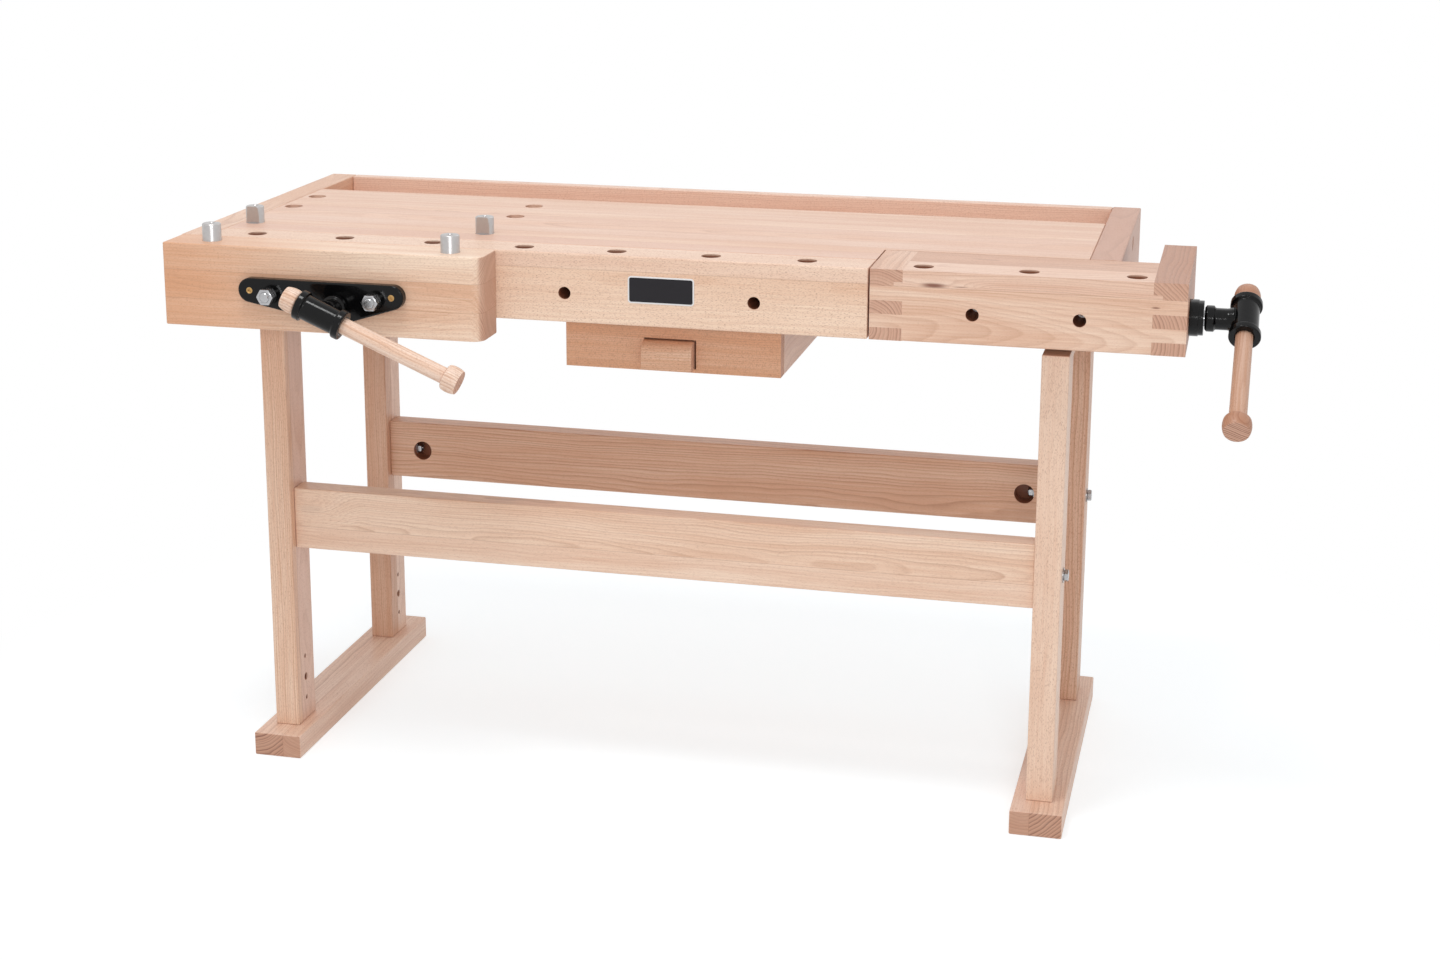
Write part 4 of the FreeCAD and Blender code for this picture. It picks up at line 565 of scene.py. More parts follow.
def block(low, high):
    """A box between two corners."""
    bm = bmesh.new()
    bmesh.ops.create_cube(bm, size=1, matrix=Matrix.Translation((low + high) / 2)
                          @ Matrix.Diagonal((*(high - low), 1)))
    return bm


def rounded(bm, edges, radius, segments):
    """Round these edges of a mesh."""
    bmesh.ops.bevel(bm, geom=edges, offset=radius, offset_type="OFFSET", segments=segments, profile=0.5,
                    affect="EDGES", material=-1)


def turned(profile, closed=False):
    """A shape turned about Z from (radius, height) corners in metres."""
    steps = bpy.context.scene.bench_details.round_steps
    bm = bmesh.new()
    verts = [bm.verts.new((radius, 0, height)) for radius, height in profile]
    edges = [bm.edges.new(pair) for pair in zip(verts, verts[1:])]
    if closed:
        edges.append(bm.edges.new((verts[-1], verts[0])))
    bmesh.ops.spin(bm, geom=verts + edges, cent=(0, 0, 0), axis=(0, 0, 1), angle=math.tau, steps=steps,
                   use_merge=True)
    bmesh.ops.remove_doubles(bm, verts=bm.verts, dist=1e-6)
    bmesh.ops.recalc_face_normals(bm, faces=bm.faces)
    return bm


def thread(crest, root, pitch, low, high, steps=28):
    """A trapezoid thread about Z between two heights, closed at both ends."""
    bm = bmesh.new()
    turns = math.ceil((high - low) / pitch) + 2
    start = low - pitch
    profile = [(root, 0), (root, 0.36), (crest, 0.5), (crest, 0.86), (root, 1)]
    verts = [bm.verts.new((radius, 0, start + part * pitch)) for radius, part in profile]
    edges = [bm.edges.new(pair) for pair in zip(verts, verts[1:])]
    bmesh.ops.spin(bm, geom=verts + edges, cent=(0, 0, 0), axis=(0, 0, 1), dvec=(0, 0, pitch / steps),
                   angle=math.tau, steps=steps, use_merge=False)
    made = 1
    while made < turns:
        copy = bmesh.ops.duplicate(bm, geom=everything(bm))["geom"]
        bmesh.ops.translate(bm, vec=(0, 0, made * pitch),
                            verts=[part for part in copy if isinstance(part, bmesh.types.BMVert)])
        made *= 2
    bmesh.ops.remove_doubles(bm, verts=bm.verts, dist=pitch * 1e-3)
    for height, facing in ((low, -1), (high, 1)):
        bmesh.ops.bisect_plane(bm, geom=everything(bm), dist=1e-7, plane_co=(0, 0, height),
                               plane_no=(0, 0, facing), clear_outer=True)
        rim = [edge for edge in bm.edges if edge.is_boundary
               and all(abs(vert.co.z - height) < 1e-6 for vert in edge.verts)]
        bmesh.ops.edgeloop_fill(bm, edges=rim)
    bmesh.ops.recalc_face_normals(bm, faces=bm.faces)
    return bm


def hexagon(flats, height, bore=0.0, segments=48):
    """A hexagon along Z from 0 to its height, with turned chamfers and an optional bore."""
    chamfer = bpy.context.scene.bench_details.hexagon_chamfer
    bm = bmesh.new()
    apothem = flats / 2

    def ring(reach, level, slope=0.0):
        """A circle of a radius, or without one a hexagon whose corners slope away."""
        made = bmesh.ops.create_circle(bm, segments=segments, radius=1)["verts"]
        for vert in made:
            angle = math.atan2(vert.co.y, vert.co.x)
            inside = angle % (math.pi / 3) - math.pi / 6
            radius = reach or apothem / math.cos(inside)
            fall = max(0.0, radius - apothem + chamfer / 2) * slope
            vert.co = (radius * math.cos(angle), radius * math.sin(angle), level + fall)
        return list({edge for vert in made for edge in vert.link_edges})

    disc = apothem - chamfer / 2
    rings = [ring(disc, 0), ring(0, 0, 0.5), ring(0, height, -0.5), ring(disc, height)]
    if bore:
        rings += [ring(bore + chamfer / 3, height), ring(bore, height - chamfer / 3),
                  ring(bore, chamfer / 3), ring(bore + chamfer / 3, 0)]
    for near, far in zip(rings, rings[1:] + rings[:1] if bore else rings[1:]):
        bmesh.ops.bridge_loops(bm, edges=near + far)
    if not bore:
        for open_ring in (rings[0], rings[-1]):
            bmesh.ops.edgeloop_fill(bm, edges=open_ring)
    bmesh.ops.recalc_face_normals(bm, faces=bm.faces)
    return bm


def as_mesh(bm, name):
    """The mesh data of a mesh under construction."""
    mesh = bpy.data.meshes.new(name)
    bm.to_mesh(mesh)
    bm.free()
    return mesh


def linked(name, data):
    """A new object in the scene."""
    thing = bpy.data.objects.new(name, data)
    bpy.context.scene.collection.objects.link(thing)
    return thing


def join(*shapes):
    """Several meshes under construction as one."""
    whole = shapes[0]
    for shape in shapes[1:]:
        spare = as_mesh(shape, "spare")
        whole.from_mesh(spare)
        bpy.data.meshes.remove(spare)
    return whole


def placed(bm, matrix):
    """The same mesh in another place."""
    bmesh.ops.transform(bm, matrix=matrix, verts=bm.verts)
    return bm


def along(axis, start):
    """The place of a shape made along Z that is to run along an axis from a point."""
    turns = {"x": Matrix.Rotation(math.radians(90), 4, "Y"),
             "-x": Matrix.Rotation(math.radians(-90), 4, "Y"),
             "y": Matrix.Rotation(math.radians(-90), 4, "X")}
    return Matrix.Translation(start) @ turns[axis]


def worked(bm, kind, settings):
    """A mesh after one modifier."""
    mesh = as_mesh(bm, "work")
    thing = linked("work", mesh)
    modifier = thing.modifiers.new("step", kind)
    for key, value in settings.items():
        setattr(modifier, key, value)
    bpy.context.view_layer.update()
    graph = bpy.context.evaluated_depsgraph_get()
    result = bpy.data.meshes.new_from_object(thing.evaluated_get(graph))
    bpy.data.objects.remove(thing)
    bpy.data.meshes.remove(mesh)
    done = bmesh.new()
    done.from_mesh(result)
    bpy.data.meshes.remove(result)
    return done


def carved(bm, cutter):
    """A mesh with another one taken out of it."""
    mesh = as_mesh(cutter, "cutter")
    tool = linked("cutter", mesh)
    done = worked(bm, "BOOLEAN", {"operation": "DIFFERENCE", "solver": "EXACT", "object": tool})
    bpy.data.objects.remove(tool)
    bpy.data.meshes.remove(mesh)
    return done


def keep(name, bm, body, slot, nodes, *materials, smooth=32):
    """Make a finished piece, which rides on a body and stands for CAD nodes.

    Faces that meet at less than the smooth angle, in degrees, are shaded as one.
    """
    mesh = as_mesh(bm, name)
    for polygon in mesh.polygons:
        polygon.use_smooth = True
    mesh.set_sharp_from_angle(angle=math.radians(smooth))
    for material in materials:
        mesh.materials.append(material)
    thing = linked(name, mesh)
    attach(thing, body)
    if nodes:
        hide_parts(*nodes)
    return thing


def paint(node, material):
    """Give a CAD node its finish."""
    data = frame["nodes"][node].data
    data.materials.clear()
    data.materials.append(material)


def middle(node):
    """The centre of a CAD node's box."""
    low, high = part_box(node)
    return (low + high) / 2


# --- wood ---

def board(grain, seed, *planks, **look):
    """One board's cut: the axis of its grain, its seed, its planks and the rest of its look."""
    return grain, seed, planks or (Plank(),), look


def dress(boards):
    """Give each named board its own cut of beech."""
    for node, (grain, seed, planks, look) in boards.items():
        low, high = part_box(node)
        half = [abs(size) / MM / 2 for size in GRAIN[grain] @ (high - low)]
        paint(node, beech("beech_" + node, middle(node), GRAIN[grain], seed, planks, half=half, **look))


class BENCH_OT_worktop(bpy.types.Operator):
    """Planed beech on the top, its rails and the tool tray"""
    bl_idname = "bench.worktop"
    bl_label = "Worktop wood"

    def execute(self, context):
        dress({
            "worktop_slab": board("x", 1, Plank(figure=0.4, tone=-0.16, blush=0.24),
                                  strips=("v", 46.0, 11.0), flecks=0.16),
            "front_beam": board("x", 2, Plank((60, 20), (0.004, 0.002), 0.14, 0.14),
                                Plank((80, -10), (0.003, 0.004), 0.14, 0.16, 0.24),
                                seams=("w", (31.0,)), flecks=0.5, mottle=0.9, streak=1.1, bored=0.92),
            "left_end_rail": board("y", 3, Plank(figure=0.5, tone=-0.2, blush=0.2, deep=0.08)),
            "right_end_rail": board("y", 4, Plank(figure=0.6, tone=-0.3, blush=0.9, deep=0.6)),
            "back_rail": board("x", 5, Plank(figure=0.5, tone=0.3, blush=0.6)),
            "tray_board": board("x", 6, Plank(figure=0.3, tone=0.16, blush=0.5), strips=("v", 62.0, 20.0)),
            "left_batten": board("y", 7),
            "right_batten": board("y", 8),
        })
        return {"FINISHED"}


class BENCH_OT_vise_wood(bpy.types.Operator):
    """Planed beech on the front jaw and the tail vise"""
    bl_idname = "bench.vise_wood"
    bl_label = "Vise wood"

    def execute(self, context):
        dress({
            "front_jaw": board("x", 11, Plank((70, -10), (0.003, 0.003), 0.24, 0.08),
                               Plank((50, 30), (0.004, -0.003), 0.3, 0.0, amber=0.1),
                               Plank((60, -20), (-0.002, 0.003), 0.24, 0.24),
                               # The front jaw turns darker and more amber towards its left end.
                               seams=("w", (-22.0, 24.0)), flecks=0.3, stain=(-270, 110, 0.6), streak=1.7),
            "tail_beam": board("x", 12, Plank((40, -34), (0.06, 0.03), 0.34, -0.2, 0.2, 0.06),
                               Plank((30, -80), (0.004, 0.006), 0.7, -0.02, 0.4),
                               seams=("w", (30.0,)), flecks=0.14, mottle=0.2, bored=0.92,
                               knots=((-139, 33.5, 24, 4.2, 0.9), (-98, 33, 14, 1.0, 0.6),
                                      (190, 17, 8, 1.8, 0.8))),
            "tail_cover": board("x", 13, Plank(figure=0.7, tone=-0.3, blush=0.3, deep=0.34)),
            "tail_jaw_block": board("y", 14, Plank((30, -40), (0, 0), 0.6, -0.2, 0.3, 0.16, ends=1.1),
                                    ring=4.8),
            "tail_end_block": board("y", 15, Plank((70, -30), (0, 0), 1.3, -0.6, 0.3, 0.95), ring=5.0),
            "tail_guide_rail": board("x", 16),
        })
        return {"FINISHED"}


class BENCH_OT_base_wood(bpy.types.Operator):
    """Planed beech on the two trestles and the stretchers"""
    bl_idname = "bench.base_wood"
    bl_label = "Base wood"

    def execute(self, context):
        dress({
            "left_foot": board("y", 21, Plank((-60, 60), (0, 0), 0.3, 0.2, 0.4, ends=0.4),
                               Plank((60, 70), (0.01, 0), 0.6, 0.24, 0.4, ends=2.0),
                               seams=("v", (-10.0,)), ring=5.4, end_deep=0.5),
            "right_foot": board("y", 22, Plank((50, 60), (0.02, 0.01), 0.6, 0.1, 0.4, ends=2.0),
                                Plank((30, 60), (0.01, 0.03), 0.2, 0.1, 0.5, ends=0.4),
                                seams=("v", (10.0,)), ring=5.4, end_deep=0.5),
            # Painted light: the plank behind the seam is paler and pinker, so the leg's side face comes out
            # lighter than its front.
            "left_front_leg": board("z", 23, Plank((4, 80), (0.004, 0.002), 0.5, -0.04, 0.1),
                                    Plank((10, -90), (0.002, 0.004), 0.4, 0.2, 0.7),
                                    seams=("v", (-20.0,)), mottle=0.2, bored=0.9),
            # Painted light and shade: the front plank is deep and the plank behind the seam pale and pink, so
            # the front face is darker and most of the side face lighter.
            "left_back_leg": board("z", 24, Plank((6, 70), (0.004, 0.006), 0.6, -0.2, 0.1, 0.42, 0.1),
                                   Plank((20, 70), (0.004, 0.006), 0.4, 0.4, 0.5),
                                   seams=("v", (-6.0,)), bored=0.9),
            "right_front_leg": board("z", 25, Plank((-70, 10), (0.003, 0.006), 0.16, 0.14, 0.2),
                                     flecks=0.36, mottle=0.1, streak=1.4, bored=0.9),
            "right_back_leg": board("z", 26, Plank((6, 60), (0.004, 0.006), 0.9, -0.25, 0.1, 0.3),
                                    flecks=0.5, ring=4.4, bored=0.9),
            "front_stretcher": board("x", 29, Plank((90, 30), (0.004, 0.004), 0.2, 0.16, 0.2),
                                     Plank((20, -10), (0.02, 0.02), 0.5, 0.0, 0.1),
                                     seams=("w", (-14.0,)), flecks=0.16, mottle=0.2, ring=2.9, streak=1.4,
                                     bored=0.92, knots=((-590, 18, 26, 11, 0.12),)),
            "back_stretcher": board("x", 30, Plank((44, -60), (0.01, 0.02), 0.9, -0.16, 0.1, 0.32, 0.1),
                                    flecks=0.16, mottle=0.2, ring=4.2, bored=0.92),
            "dowels": board("x", 31),
        })
        for side, seed in (("left", 27), ("right", 28)):
            self.add_bearer(side, seed, context.scene.bench_details.bearer_rise)
        return {"FINISHED"}

    def add_bearer(self, side, seed, rise):
        """A bearer that hides behind the beam: less deep between the legs, and with whole tenons."""
        node = side + "_bearer"
        source = frame["nodes"][node]
        shape = bmesh.new()
        shape.from_mesh(source.data)
        placed(shape, source.matrix_world)
        bmesh.ops.remove_doubles(shape, verts=shape.verts, dist=1e-6)
        body = everything(shape)
        near_tenon, far_tenon = (bmesh.ops.duplicate(shape, geom=body)["geom"] for _ in range(2))
        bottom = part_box(node)[0].z + rise
        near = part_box(side + "_front_leg")[1].y - TENON_START
        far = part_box(side + "_back_leg")[0].y + TENON_START
        for geom, point, kept_side in ((body, (0, 0, bottom), (0, 0, 1)),
                                       (near_tenon, (0, near, 0), (0, -1, 0)),
                                       (far_tenon, (0, far, 0), (0, 1, 0))):
            bmesh.ops.bisect_plane(shape, geom=geom, dist=1e-7, plane_co=point, plane_no=kept_side,
                                   clear_inner=True)
        bmesh.ops.holes_fill(shape, edges=[edge for edge in shape.edges if edge.is_boundary])
        bmesh.ops.recalc_face_normals(shape, faces=shape.faces)
        wood = beech("beech_" + node, middle(node), GRAIN["y"], seed)
        keep(node + "_slim", shape, "bench", "beech", [node], wood)


class BENCH_OT_drawer_wood(bpy.types.Operator):
    """Planed beech on the drawer and its case"""
    bl_idname = "bench.drawer_wood"
    bl_label = "Drawer wood"

    def execute(self, context):
        dress({
            "drawer_front": board("x", 41, Plank((10, -120), (0.0, 0.006), 0.5, -0.2, 0, 0.1, 0.55),
                                  mottle=1.8, flecks=0.3),
            "drawer_sides": board("y", 43),
            "drawer_back": board("x", 44),
            "drawer_floor": board("x", 45, Plank(figure=0.3, tone=0.15)),
            "drawer_case_sides": board("y", 46, Plank((60, 30), (0, 0.004), 0.4, -0.1, 0.4, 0.14)),
            "drawer_case_back": board("x", 47),
            "drawer_runners": board("y", 48),
        })
        self.add_pull(context.scene.bench_details)
        return {"FINISHED"}

    def add_pull(self, details):
        """The drawer's pull, a little taller than its solid and round at its upper front edge."""
        low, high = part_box("drawer_pull")
        high.z += details.pull_rise
        shape = block(low, high)
        top_front = [edge for edge in shape.edges
                     if all(vert.co.z > high.z - MM and vert.co.y < low.y + MM for vert in edge.verts)]
        rounded(shape, top_front, details.pull_round, 14)
        sharp = [edge for edge in shape.edges if edge.calc_face_angle() > math.radians(60)]
        rounded(shape, sharp, PULL_EDGE, 3)
        wood = beech("beech_drawer_pull", middle("drawer_pull"), GRAIN["x"], 42,
                     (Plank((16, -60), (0.0, 0.03), 0.5, -0.2, 0, 0.1, 0.3),), mottle=0.8, flecks=0.5)
        keep("drawer_pull_rounded", shape, "drawer", "beech", ["drawer_pull"], wood)


class BENCH_OT_handles(bpy.types.Operator):
    """Turned wood on the two sliding handles and their knobs"""
    bl_idname = "bench.handles"
    bl_label = "Handles"

    def execute(self, context):
        pale = context.scene.bench_colours.handle
        for side, turn, seed, tone, deep, ends in (("front", FRONT_HANDLE, 51, 0.12, 0.0, 0.8),
                                                   ("tail", TAIL_HANDLE, 52, -0.3, 0.58, 2.4)):
            fibres = GRAIN["z"] @ turn.inverted()
            for piece, figure, darker in (("bar", 0.5, 0.0), ("knobs", 0.9, deep * 0.6)):
                node = f"{side}_handle_{piece}"
                plank = Plank((160, 70), (0, 0.004), figure, tone, 0.0, deep + darker, ends=ends)
                paint(node, beech("turned_" + node, middle(node), fibres, seed, (plank,), pale=pale,
                                  ring=3.8))
        return {"FINISHED"}


# --- metal ---

class BENCH_OT_dogs(bpy.types.Operator):
    """The four turned metal dogs, each with a leaning flat and a bore"""
    bl_idname = "bench.dogs"
    bl_label = "Bench dogs"

    def execute(self, context):
        for row, facing in (("jaw", 1), ("top", -1)):
            for side in ("left", "right"):
                self.add_dog(f"{row}_dog_{side}", facing)
        return {"FINISHED"}

    def add_dog(self, name, facing):
        """One dog, whose flat faces the front (-1) or the back (1)."""
        low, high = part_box(name)
        x, radius = (low.x + high.x) / 2, (high.x - low.x) / 2
        y = low.y + radius if facing == 1 else high.y - radius
        top, bottom, bore = DOG_TOP, low.z - high.z + DOG_TOP, DOG_BORE
        shape = turned([(0, bottom), (radius - 1.5 * MM, bottom), (radius, bottom + 1.5 * MM),
                        (radius, top - 1.9 * MM), (radius - 0.3 * MM, top - 1.3 * MM),
                        (radius - 1.6 * MM, top - 0.15 * MM), (radius - 2.2 * MM, top),
                        (bore + 2.4 * MM, top), (bore + 2.0 * MM, top - 0.5 * MM),
                        (bore + 0.5 * MM, top - 0.5 * MM), (bore, top - 1.1 * MM),
                        (bore, top - 13 * MM), (0, top - 14.5 * MM)])
        cutter = bmesh.new()
        bmesh.ops.create_cube(cutter, size=1)
        for vert in cutter.verts:
            level = top + 1 * MM if vert.co.z > 0 else 0.0
            face = radius - DOG_FLAT - (top - level) * DOG_LEAN
            vert.co = (vert.co.x * 3 * radius, face if vert.co.y < 0 else face + 10 * MM, level)
        shape = carved(shape, cutter)
        turn = Matrix.Rotation(0 if facing == 1 else math.pi, 4, "Z")
        placed(shape, Matrix.Translation((x, y, high.z - top)) @ turn)
        metal = bright_metal("turned_" + name, "aluminium", 0.34, GRAIN["z"], (x, y, 0), 0.16)
        keep(name + "_turned", shape, name, "dog_metal", [name], metal)


class BENCH_OT_vise_heads(bpy.types.Operator):
    """The cast heads that the handles slide in"""
    bl_idname = "bench.vise_heads"
    bl_label = "Vise heads"

    def execute(self, context):
        iron = painted_iron("iron_heads")
        voxel = context.scene.bench_details.cast_voxel
        for side, turn in (("front", FRONT_HANDLE), ("tail", TAIL_HEAD)):
            node = f"{side}_vise_head"
            low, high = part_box(node)
            axis = middle(f"{side}_vise_screw")
            if side == "front":
                centre = Vector((axis.x, low.y + HEAD_RADIUS, axis.z))
            else:
                centre = Vector((high.x - HEAD_RADIUS, axis.y, axis.z))
            neck = placed(turned(mm(*HEAD_NECK)), along("x", (-HEAD_REACH, 0, 0)))
            shape = join(turned(mm(*HEAD_TUBE), closed=True), neck)
            shape = worked(shape, "REMESH", {"mode": "VOXEL", "voxel_size": voxel})
            bmesh.ops.smooth_vert(shape, verts=shape.verts, factor=0.5, use_axis_x=True, use_axis_y=True,
                                  use_axis_z=True)
            placed(shape, Matrix.Translation(centre) @ turn.to_4x4())
            keep(f"{side}_head_casting", shape, f"{side}_screw", "black_casting", [node], iron, smooth=80)
        return {"FINISHED"}


class BENCH_OT_vise_screws(bpy.types.Operator):
    """The threaded vise screws with their thrust rings"""
    bl_idname = "bench.vise_screws"
    bl_label = "Vise screws"

    def execute(self, context):
        details = context.scene.bench_details
        crest, ring, edge, plain = SCREW_RADIUS, RING_RADIUS, RING_EDGE, PLAIN_SHANK
        root = crest - details.thread_depth
        for side, axis in (("front", "y"), ("tail", "x")):
            node = f"{side}_vise_screw"
            low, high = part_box(node)
            centre = middle(node)
            if side == "front":
                place = along("y", (centre.x, low.y, centre.z))
                run = high.y - low.y
                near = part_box("front_vise_casting")[1].y - low.y + FRONT_RING_GAP
            else:
                place = along("-x", (high.x, centre.y, centre.z))
                run = high.x - low.x
                near = high.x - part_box("tail_flange")[1].x + TAIL_RING_GAP
            far = near + RING_WIDTH
            shank = turned([(0, 0), (crest - 1 * MM, 0), (crest, 1 * MM), (crest, plain - 1 * MM),
                            (root - 0.2 * MM, plain + 1.5 * MM), (0, plain + 1.5 * MM)])
            collar = turned([(crest - 0.5 * MM, near), (ring - edge, near), (ring, near + edge),
                             (ring, far - edge), (ring - edge, far), (crest - 0.5 * MM, far)], closed=True)
            worm = thread(crest, root, details.screw_pitch, plain, run - 3 * MM)
            tip = turned([(0, run - 4 * MM), (root, run - 4 * MM), (root, run - 1.2 * MM),
                          (root - 1.2 * MM, run), (0, run)])
            shape = placed(join(shank, collar, worm, tip), place)
            metal = bright_metal(f"steel_{side}_screw", "steel", 0.28, GRAIN[axis], centre)
            keep(f"{side}_screw_threaded", shape, f"{side}_screw", "bright_steel", [node], metal)
        return {"FINISHED"}


class BENCH_OT_castings(bpy.types.Operator):
    """Paint on the castings that carry the vises"""
    bl_idname = "bench.castings"
    bl_label = "Vise castings"

    def execute(self, context):
        iron = painted_iron("iron_castings")
        for node in ("front_vise_casting", "front_vise_carrier", "tail_flange", "tail_nut_bracket"):
            paint(node, iron)
        paint("front_vise_nut", bright_metal("brass_nut", "brass", 0.3, GRAIN["y"], middle("front_vise_nut")))
        return {"FINISHED"}


class BENCH_OT_guide_rods(bpy.types.Operator):
    """The guide rods, their threaded studs and nuts, and the tail vise's guide bar"""
    bl_idname = "bench.guide_rods"
    bl_label = "Guide rods"

    def execute(self, context):
        pitch = context.scene.bench_details.bolt_pitch
        low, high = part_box("guide_rods")
        nut_low, nut_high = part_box("guide_rod_nuts")
        rod, stud, root = ROD_RADIUS, STUD_RADIUS, STUD_RADIUS - 0.9 * MM
        z = (low.z + high.z) / 2
        run, shoulder = high.y - low.y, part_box("front_jaw")[0].y - low.y
        rods, nuts = [], []
        for x in (low.x + rod, high.x - rod):
            for shape in (turned([(0, shoulder), (rod - 0.8 * MM, shoulder), (rod, shoulder + 0.8 * MM),
                                  (rod, run - 1.2 * MM), (rod - 1.2 * MM, run), (0, run)]),
                          thread(stud, root, pitch, 0.8 * MM, shoulder + 1 * MM),
                          turned([(0, 0), (stud - 1.6 * MM, 0), (root, 0.7 * MM), (root, 1.6 * MM),
                                  (0, 1.6 * MM)])):
                rods.append(placed(shape, along("y", (x, low.y, z))))
            nuts.append(placed(hexagon(ROD_NUT_FLATS, nut_high.y - nut_low.y, stud),
                               along("y", (x, nut_low.y, z))))
        metal = bright_metal("steel_rods", "steel", 0.2, GRAIN["y"], middle("guide_rods"))
        keep("guide_rods_turned", join(*rods), "front_jaw", "bright_steel", ["guide_rods"], metal)
        keep("guide_rod_nuts_chamfered", join(*nuts), "front_jaw", "bright_steel", ["guide_rod_nuts"],
             zinc("zinc_rod_nuts"), smooth=HEXAGON_SMOOTH)
        bar = "tail_guide_bar"
        paint(bar, bright_metal("steel_tail_bar", "steel", 0.2, GRAIN["x"], middle(bar)))
        return {"FINISHED"}


class BENCH_OT_casting_screws(bpy.types.Operator):
    """The two brass wood screws of the front casting, with their cross recess"""
    bl_idname = "bench.casting_screws"
    bl_label = "Brass screws"

    def execute(self, context):
        low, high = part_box("casting_screws")
        head = WOOD_SCREW_HEAD
        screws = []
        for x, turn in ((low.x + head, 20), (high.x - head, 50)):
            body = turned([(0, 0.05 * MM), (3.6 * MM, 0.1 * MM), (head - 0.4 * MM, 0.3 * MM),
                           (head, 0.65 * MM), (2.6 * MM, 3.4 * MM), (2.1 * MM, 5 * MM),
                           (2.1 * MM, 36 * MM), (0.2 * MM, 40 * MM), (0, 40 * MM)])
            for angle in (turn, 90 + turn):
                body = carved(body, self.slot(angle))
            screws.append(placed(body, along("y", (x, low.y, (low.z + high.z) / 2))))
        metal = bright_metal("brass_screws", "brass", 0.3, GRAIN["y"], middle("casting_screws"))
        keep("casting_screws_crossed", join(*screws), "front_jaw", "brass", ["casting_screws"], metal)
        return {"FINISHED"}

    def slot(self, angle):
        """The tapering cutter for one slot of a cross, turned by an angle in degrees."""
        slot = bmesh.new()
        bmesh.ops.create_cube(slot, size=1)
        for vert in slot.verts:
            wide, level = (1.0, -0.5 * MM) if vert.co.z < 0 else (0.45, 2.1 * MM)
            vert.co = (vert.co.x * 7.2 * MM * wide, vert.co.y * 1.8 * MM, level)
        return placed(slot, Matrix.Rotation(math.radians(angle), 4, "Z"))


def bolt(run, pitch, threaded):
    """A hexagon bolt along Z: its head from 0, then its shank, threaded near the end."""
    shank, under = BOLT_RADIUS, BOLT_HEAD - 0.2 * MM
    root = shank - pitch * 0.55
    plain = turned([(0, under), (shank, under), (shank, run - threaded), (0, run - threaded)])
    worm = thread(shank, root, pitch, run - threaded, run - 0.8 * MM, steps=20)
    tip = turned([(0, run - 1.4 * MM), (root, run - 1.4 * MM), (root, run - 0.6 * MM),
                  (root - 0.6 * MM, run), (0, run)])
    return join(hexagon(BOLT_FLATS, BOLT_HEAD), plain, worm, tip)


def from_both_ends(low, high, ends, make, *sizes):
    """Four like pieces as one mesh: one from each end, in the two rows of a box of bolts."""
    rows = (low.y + BOLT_FLATS / 2, high.y - BOLT_FLATS / 2)
    return join(*(placed(make(*sizes), along(axis, (x, y, (low.z + high.z) / 2)))
                  for y in rows for axis, x in zip(("x", "-x"), ends)))


class BENCH_OT_stretcher_bolts(bpy.types.Operator):
    """The bolts and nuts of the stretchers, and their washers"""
    bl_idname = "bench.stretcher_bolts"
    bl_label = "Stretcher bolts"

    def execute(self, context):
        pitch = context.scene.bench_details.bolt_pitch
        low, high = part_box("stretcher_bolts")
        nut_low, nut_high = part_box("stretcher_nuts")
        run = abs(nut_low.x - low.x) + NUT_HEIGHT + BOLT_PAST_NUT
        bolts = from_both_ends(low, high, (low.x, high.x), bolt, run, pitch, STRETCHER_THREAD)
        nuts = from_both_ends(low, high, (nut_low.x, nut_high.x),
                              hexagon, BOLT_FLATS, NUT_HEIGHT, BOLT_RADIUS)
        plating = zinc("zinc_bolts")
        keep("stretcher_bolts_threaded", bolts, "bench", "bright_steel", ["stretcher_bolts"], plating,
             smooth=HEXAGON_SMOOTH)
        keep("stretcher_nuts_chamfered", nuts, "bench", "bright_steel", ["stretcher_nuts"], plating,
             smooth=HEXAGON_SMOOTH)
        paint("bolt_washers", plating)
        return {"FINISHED"}


class BENCH_OT_top_fixings(bpy.types.Operator):
    """The bolts of the end rails and the coach screws under the top"""
    bl_idname = "bench.top_fixings"
    bl_label = "Top fixings"

    def execute(self, context):
        pitch = context.scene.bench_details.bolt_pitch
        low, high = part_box("end_rail_bolts")
        run = (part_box("left_end_rail")[1].x - low.x) + RAIL_BOLT_REACH
        bolts = from_both_ends(low, high, (low.x, high.x), bolt, run, pitch, RAIL_THREAD)
        plating = zinc("zinc_fixings")
        keep("end_rail_bolts_threaded", bolts, "bench", "bright_steel", ["end_rail_bolts"], plating,
             smooth=HEXAGON_SMOOTH)
        paint("coach_screws", plating)
        return {"FINISHED"}


class BENCH_OT_name_plate(bpy.types.Operator):
    """A bare dark plate with a light raised edge"""
    bl_idname = "bench.name_plate"
    bl_label = "Name plate"

    def execute(self, context):
        colours = context.scene.bench_colours
        details = context.scene.bench_details
        low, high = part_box("name_plate")
        high += Vector((1, 0, 1)) * details.plate_growth
        shape = block(low, high)
        corners = [edge for edge in shape.edges
                   if abs((edge.verts[0].co - edge.verts[1].co).normalized().y) > 0.9]
        rounded(shape, corners, details.plate_corner, 8)
        front = [face for face in shape.faces if face.normal.y < -0.9]
        bmesh.ops.inset_region(shape, faces=front, thickness=0.25 * MM, depth=0.15 * MM)
        bmesh.ops.inset_region(shape, faces=front, thickness=details.plate_rim_width)
        bmesh.ops.inset_region(shape, faces=front, thickness=0.2 * MM, depth=-0.25 * MM)
        for face in front:
            face.material_index = 1
        keep("name_plate_bare", shape, "bench", "plate", ["name_plate"],
             plate_paint("plate_edge", tuple(colours.plate_rim), 0.32, 0.5),
             plate_paint("plate_field", tuple(colours.plate_field), 0.36, 0.2))
        return {"FINISHED"}


# --- stage ---

